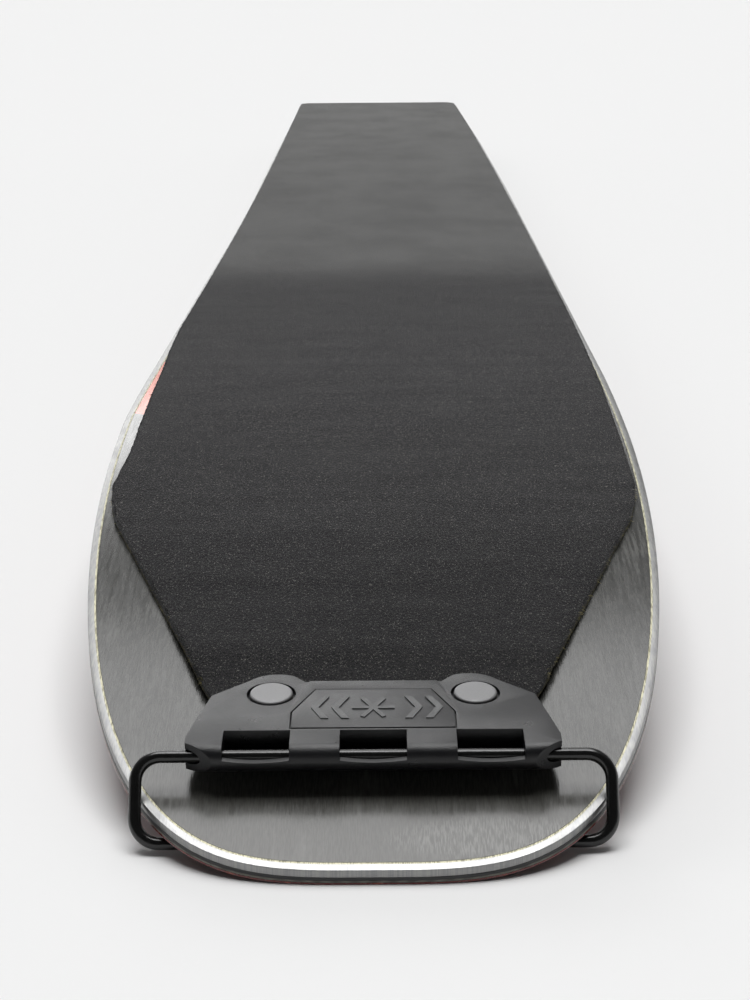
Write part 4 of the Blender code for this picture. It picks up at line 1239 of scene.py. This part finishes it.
def make_bail():
    drop = Vector((0, -BAIL_FORWARD, -BAIL_DOWN))
    down = drop.normalized()
    side = BAIL_HALF_WIDTH - BAIL_CORNER
    foot = drop.length - BAIL_CORNER
    loop = []
    for centre, start in (((side, BAIL_CORNER), -90), ((side, foot), 0), ((-side, foot), 90),
                          ((-side, BAIL_CORNER), 180)):
        loop += arc(centre, BAIL_CORNER, start, start + 90, 14)
    points = [Vector((u, 0, 0)) + down * v for u, v in loop]
    piece = tube("bail_wire", points, WIRE_RADIUS)
    place(piece, Matrix.Translation(JOINTS["bail_swing"]["pos_m"]))
    deliver(piece, "black_wire", "tip_bail", "tip_bail")


# ---------------------------------------------------------------- tail attachment

def buckle_frame():
    pitch = slope(base_z, BUCKLE_AT)
    turn = Matrix.Rotation(pitch, 4, "X")
    origin = Vector(JOINTS["cam_open"]["pos_m"]) - turn @ Vector((0, 0, CAM_HEIGHT))
    return Matrix.Translation(origin) @ turn


def make_buckle():
    half = BUCKLE_HALF_LENGTH
    centre = (0, CAM_HEIGHT)
    plan = mirrored([(0.0, -half), (0.019, -half), (0.023, -0.010), (0.023, 0.010), (0.019, half),
                     (0.0, half)])
    plate = new_piece("buckle_plate", prism(plan, 0.0, BUCKLE_PLATE))
    ear = [(-0.009, BUCKLE_PLATE / 2), (0.009, BUCKLE_PLATE / 2), (0.0055, 0.0080)]
    ear += arc((0, 0.0063), 0.0035, 45, 135, 8) + [(-0.0055, 0.0080)]
    for side in (-1, 1):
        combine(plate, side_prism(ear, *sorted((side * 0.0126, side * 0.0150))), "UNION")
    soften(plate, ROUNDING)
    combine(plate, rod(CAM_PIN_RADIUS + GAP, -0.02, 0.02, centre, "X"))
    for x in (-BUCKLE_RIVET_X, BUCKLE_RIVET_X):
        combine(plate, rod(BUCKLE_RIVET_BORE, -0.01, 0.004, (x, 0.0)))
    pin = new_piece("cam_axle", cross_pin(CAM_PIN_RADIUS, 0.0158, CAM_HEIGHT))
    for piece, slot, body, node in ((plate, "connector_plastic", "board", "tail_buckle"),
                                    (pin, "screw_steel", "board", "cam_pin"),
                                    (make_lever(), "connector_plastic", "cam_lever", "cam_lever")):
        place(piece, buckle_frame())
        deliver(piece, slot, body, node)
    head = [(0.0, 0.0028), (0.0020, 0.0026), (0.0028, 0.0023), (0.0032, 0.0019), (0.0032, 0.0016),
            (0.0014, 0.0016), (0.0014, -0.0019), (0.0, -0.0019)]
    for name, x in (("buckle_rivet_left", -BUCKLE_RIVET_X), ("buckle_rivet_right", BUCKLE_RIVET_X)):
        piece = new_piece("head_of_" + name, turned(head))
        place(piece, buckle_frame() @ Matrix.Translation((x, 0, 0)))
        deliver(piece, "rivet_metal", "board", name)


def cross_pin(radius, half_length, height=0.0):
    """A pin along X with chamfered ends."""
    ends = [(0.0, half_length), (radius - 0.0003, half_length), (radius, half_length - 0.0003)]
    outline = ends + [(r, -z) for r, z in reversed(ends)]
    lying = Matrix.Translation((0, 0, height)) @ Matrix.Rotation(math.pi / 2, 4, "Y")
    return moved(turned(outline), lying)


def make_lever():
    """The cam lever, with grip grooves across the top of its handle."""
    lobe = arc((0, CAM_HEIGHT), CAM_RADIUS, 60, 300, 24)
    handle = [(0.0050, -0.0016), (0.0200, -0.0010), (0.0250, 0.0014), (0.0240, 0.0032),
              (0.0190, 0.0016), (0.0050, 0.0026)]
    outline = lobe + [(y, CAM_HEIGHT + z) for y, z in handle]
    lever = new_piece("cam_handle", side_prism(outline, -0.0122, 0.0122))
    soften(lever, ROUNDING)
    rim = CAM_HEIGHT + 0.0034
    for y in (0.0080, 0.0102, 0.0124, 0.0146, 0.0168):
        groove = [(y, rim), (y + 0.0006, CAM_HEIGHT + 0.0014), (y + 0.0012, rim)]
        combine(lever, side_prism(groove, -0.0095, 0.0095))
    combine(lever, rod(CAM_PIN_RADIUS + GAP, -0.02, 0.02, (0, CAM_HEIGHT), "X"))
    return lever


def strap_bottom(s):
    """The strap runs level over the buckle's plate and then down to the base."""
    over_buckle = BUCKLE_LIFT + BUCKLE_PLATE + STRAP_OVER_PLATE
    run = (s - BUCKLE_AT - BUCKLE_HALF_LENGTH) / STRAP_RAMP
    return over_buckle + (STRAP_OVER_BASE - over_buckle) * smooth_step(run)


def make_strap():
    rows = spaced_rows(BUCKLE_AT - BUCKLE_HALF_LENGTH, HOOK_PIN_AT - 0.0042, 0.0012)
    half = STRAP_HALF_WIDTH
    bm = lattice(len(rows), 15, lambda i, j: (-half + 2 * half * j / 14, rows[i]))
    piece = new_piece("strap", bend(bm, lambda s: strap_bottom(s) + STRAP_THICKNESS, strap_bottom))
    soften(piece, ROUNDING, segments=2, angle=60)
    deliver(piece, "strap_rubber", "board", "tail_strap")


def hook_frame():
    origin = Matrix.Translation(JOINTS["tail_hook_lift"]["pos_m"])
    return origin @ Matrix.Rotation(slope(base_z, HOOK_PIN_AT), 4, "X")


def make_hook():
    around = arc((0, 0), 0.0026, -60, 90, 12)
    fitting_side = [(-0.0036, -0.0022), (0.0, -0.0026)] + around + [(-0.0036, 0.0016)]
    fitting = new_piece("strap_fitting", side_prism(fitting_side, -0.0075, 0.0075))
    soften(fitting, 0.0002, segments=2)
    combine(fitting, rod(HOOK_PIN_RADIUS + GAP, -0.03, 0.03, axis="X"))
    pin = new_piece("hook_axle", cross_pin(HOOK_PIN_RADIUS, 0.0138))
    pitch = slope(base_z, HOOK_PIN_AT)
    origin = Vector(JOINTS["tail_hook_lift"]["pos_m"])
    along = BOARD_LENGTH + FRONT - origin.y
    drop = base_z(BOARD_LENGTH) - origin.z
    edge_y = along * math.cos(pitch) + drop * math.sin(pitch)
    low = drop * math.cos(pitch) - along * math.sin(pitch) + 0.0006
    high = low + 0.0026
    cheek = [(-0.0026, 0.0), (-0.0018, -0.0020), (0.0030, -0.0022), (edge_y - 0.004, low),
             (edge_y - 0.004, high), (0.0030, 0.0020), (0.0, 0.0026), (-0.0018, 0.0020)]
    inside = HOOK_HALF_WIDTH - CHEEK_WIDTH
    hook = new_piece("hook", side_prism(cheek, -HOOK_HALF_WIDTH, -inside))
    inner_y = edge_y + 0.0006
    foot_y = inner_y - math.sin(pitch) * HOOK_TOOTH
    foot_z = low - math.cos(pitch) * HOOK_TOOTH
    tooth = [(edge_y - 0.0060, low), (inner_y, low), (foot_y, foot_z),
             (foot_y + 0.0014, foot_z + 0.0004), (inner_y + 0.0020, low + 0.0014),
             (inner_y + 0.0006, high), (edge_y - 0.0060, high)]
    combine(hook, side_prism(tooth, -HOOK_HALF_WIDTH, HOOK_HALF_WIDTH), "UNION")
    combine(hook, side_prism(cheek, inside, HOOK_HALF_WIDTH), "UNION")
    soften(hook, ROUNDING)
    combine(hook, rod(HOOK_PIN_RADIUS + GAP, -0.03, 0.03, axis="X"))
    for piece, slot, body, node in ((fitting, "clip_aluminium", "board", "strap_end_fitting"),
                                    (pin, "screw_steel", "board", "hook_pin"),
                                    (hook, "hook_steel", "tail_hook", "tail_hook")):
        place(piece, hook_frame())
        deliver(piece, slot, body, node)


# ---------------------------------------------------------------- topsheet hardware

def make_inserts():
    thread_steps = 6
    for index, (x, s) in enumerate(insert_places()):
        depth = INSERT_DEPTH - 0.0008
        bore = []
        for step in range(thread_steps):
            high = depth * (1 - step / thread_steps)
            bore += [(0.0025, high), (0.0027, high - depth / thread_steps / 2)]
        outline = [(0.0, INSERT_DEPTH), (INSERT_RADIUS - 0.0003, INSERT_DEPTH),
                   (INSERT_RADIUS, INSERT_DEPTH - 0.0003), (INSERT_RADIUS, 0.0003),
                   (INSERT_RADIUS - 0.0002, 0.0001), (0.0028, 0.0001)]
        outline += bore[::-1] + [(0.0, depth)]
        name = "threaded_insert_%02d" % (index + 1)
        piece = new_piece("m6_" + name, turned(outline, 40))
        place(piece, Matrix.Translation((x, s + FRONT, topsheet_z(s))))
        deliver(piece, "insert_steel", "board", name)


def clip_frame(index):
    joint = JOINTS["clip_%d_turn" % (index + 1)]
    pitch = slope(topsheet_z, CLIP_STATIONS[index], 0.01)
    return Matrix.Translation(joint["pos_m"]) @ Matrix.Rotation(pitch, 4, "X")


def screw(shank_radius, head_radius, seat):
    """A pan-head screw pointing up into the board, its head's seat at this height."""
    return turned([(0.0, 0.0018), (shank_radius, 0.0018), (shank_radius, seat), (head_radius, seat),
                   (head_radius, seat - 0.0006), (head_radius - 0.0004, seat - 0.0011),
                   (head_radius - 0.0010, seat - 0.0013), (0.0014, seat - 0.0013),
                   (0.0014, seat - 0.0005), (0.0, seat - 0.0005)])


def make_clip(index):
    plate_plan = [(-0.009, -0.019), (0.007, -0.019), (0.010, -0.012), (0.010, 0.007),
                  (0.006, 0.011), (-0.006, 0.011), (-0.011, 0.006), (-0.011, -0.014)]
    lever_plan = [(-0.0058, -0.0030), (-0.0030, -0.0058), (0.0030, -0.0058), (0.0058, -0.0030),
                  (0.0052, 0.0200), (0.0052, 0.0330), (-0.0060, 0.0330), (-0.0075, 0.0300),
                  (-0.0075, 0.0250), (-0.0010, 0.0262), (-0.0010, 0.0222), (-0.0052, 0.0205)]
    name = "clip_%d" % (index + 1)
    plate = new_piece(name + "_base", prism(plate_plan, -0.0018, -0.0002))
    soften(plate, ROUNDING)
    fixing_bore = rod(0.0022, -0.008, 0.003, CLIP_FIXING)
    combine(plate, gather(rod(0.0023, -0.008, 0.003), fixing_bore))
    lever = new_piece(name + "_hook", prism(lever_plan, -0.0043, -0.0021))
    soften(lever, ROUNDING)
    combine(lever, rod(0.0023, -0.008, 0.003))
    pivot = new_piece(name + "_pivot", screw(0.0019, 0.0046, -0.0046))
    fixing = new_piece(name + "_fixing", screw(0.0018, 0.0036, -0.0021))
    place(fixing, Matrix.Translation((*CLIP_FIXING, 0)))
    for piece, slot, body, node in ((plate, "clip_aluminium", "board", name + "_plate"),
                                    (lever, "black_steel", name + "_lever", name + "_lever"),
                                    (pivot, "screw_steel", "board", name + "_pivot_screw"),
                                    (fixing, "screw_steel", "board", name + "_fixing_screw")):
        place(piece, clip_frame(index))
        deliver(piece, slot, body, node)


# ---------------------------------------------------------------- stage, light and camera

def make_floor():
    bm = bmesh.new()
    bmesh.ops.create_grid(bm, x_segments=1, y_segments=1, size=60)
    floor = new_piece("floor", bm)
    floor.data.materials.append(floor_paper())


def make_sky():
    """Studio light from far away: a softbox overhead whose near half is brighter, a panel
    behind on the left, and walls that are pale behind the board and dark in front of it."""
    world = bpy.data.worlds.new("studio")
    bpy.context.scene.world = world
    world.use_nodes = True
    sky = Nodes(world.node_tree)
    direction = sky.add("ShaderNodeTexCoord").outputs["Generated"]
    x, y, z = (sky.part(direction, name) for name in "XYZ")
    overhead = sky.math("MAXIMUM", z, 0.02)
    across = sky.between(sky.math("DIVIDE", x, overhead), *CEILING_ACROSS, CEILING_SOFT)
    forward = sky.math("DIVIDE", y, overhead)
    ceiling = sky.math("MULTIPLY", across, sky.between(forward, *CEILING_ALONG, CEILING_SOFT))
    azimuth = sky.math("ARCTAN2", x, y)
    elevation = sky.math("ARCSINE", z)
    sideways = sky.between(azimuth, *PANEL_AZIMUTH, PANEL_SOFT)
    upright = sky.between(elevation, *PANEL_ELEVATION, PANEL_SOFT)
    panel = sky.math("MULTIPLY", sideways, upright)
    walls = sky.levels(elevation, *WALL_TOP, WALL_LIGHT, FILL_LIGHT)
    behind = sky.levels(y, -0.25, 0.35, FRONT_LIGHT, 1.0)
    lamp = sky.math("MULTIPLY", across, sky.between(forward, *LAMP_ALONG, CEILING_SOFT))
    light = sky.math("MULTIPLY", walls, behind)
    light = sky.math("MULTIPLY_ADD", ceiling, CEILING_LIGHT, light)
    light = sky.math("MULTIPLY_ADD", lamp, LAMP_LIGHT, light)
    light = sky.math("MULTIPLY_ADD", panel, PANEL_LIGHT, light)
    sky.feed(world.node_tree.nodes["Background"].inputs["Strength"], light)
    sky.feed(world.node_tree.nodes["Background"].inputs["Color"], (1.0, 1.0, 1.0, 1.0))


def make_camera():
    data = bpy.data.cameras.new("camera")
    data.lens = CAMERA_LENS
    data.sensor_width = 36
    data.clip_start = 0.01
    data.clip_end = 200
    camera = bpy.data.objects.new("camera", data)
    bpy.context.scene.collection.objects.link(camera)
    aim = Matrix.Rotation(-CAMERA_YAW, 4, "Z") @ Matrix.Rotation(math.pi / 2 - CAMERA_PITCH, 4, "X")
    camera.matrix_world = Matrix.Translation(CAMERA_AT) @ aim @ Matrix.Rotation(CAMERA_ROLL, 4, "Z")
    bpy.context.scene.camera = camera


def main():
    make_camera()
    make_sky()
    make_floor()
    make_laminates()
    make_skin()
    make_connector()
    make_emblem()
    make_rivets()
    make_clamp_plate()
    make_bail()
    make_buckle()
    make_strap()
    make_hook()
    make_inserts()
    for index in range(len(CLIP_STATIONS)):
        make_clip(index)
    bpy.context.scene.view_settings.view_transform = "Standard"


main()
bpy.context.view_layer.update()
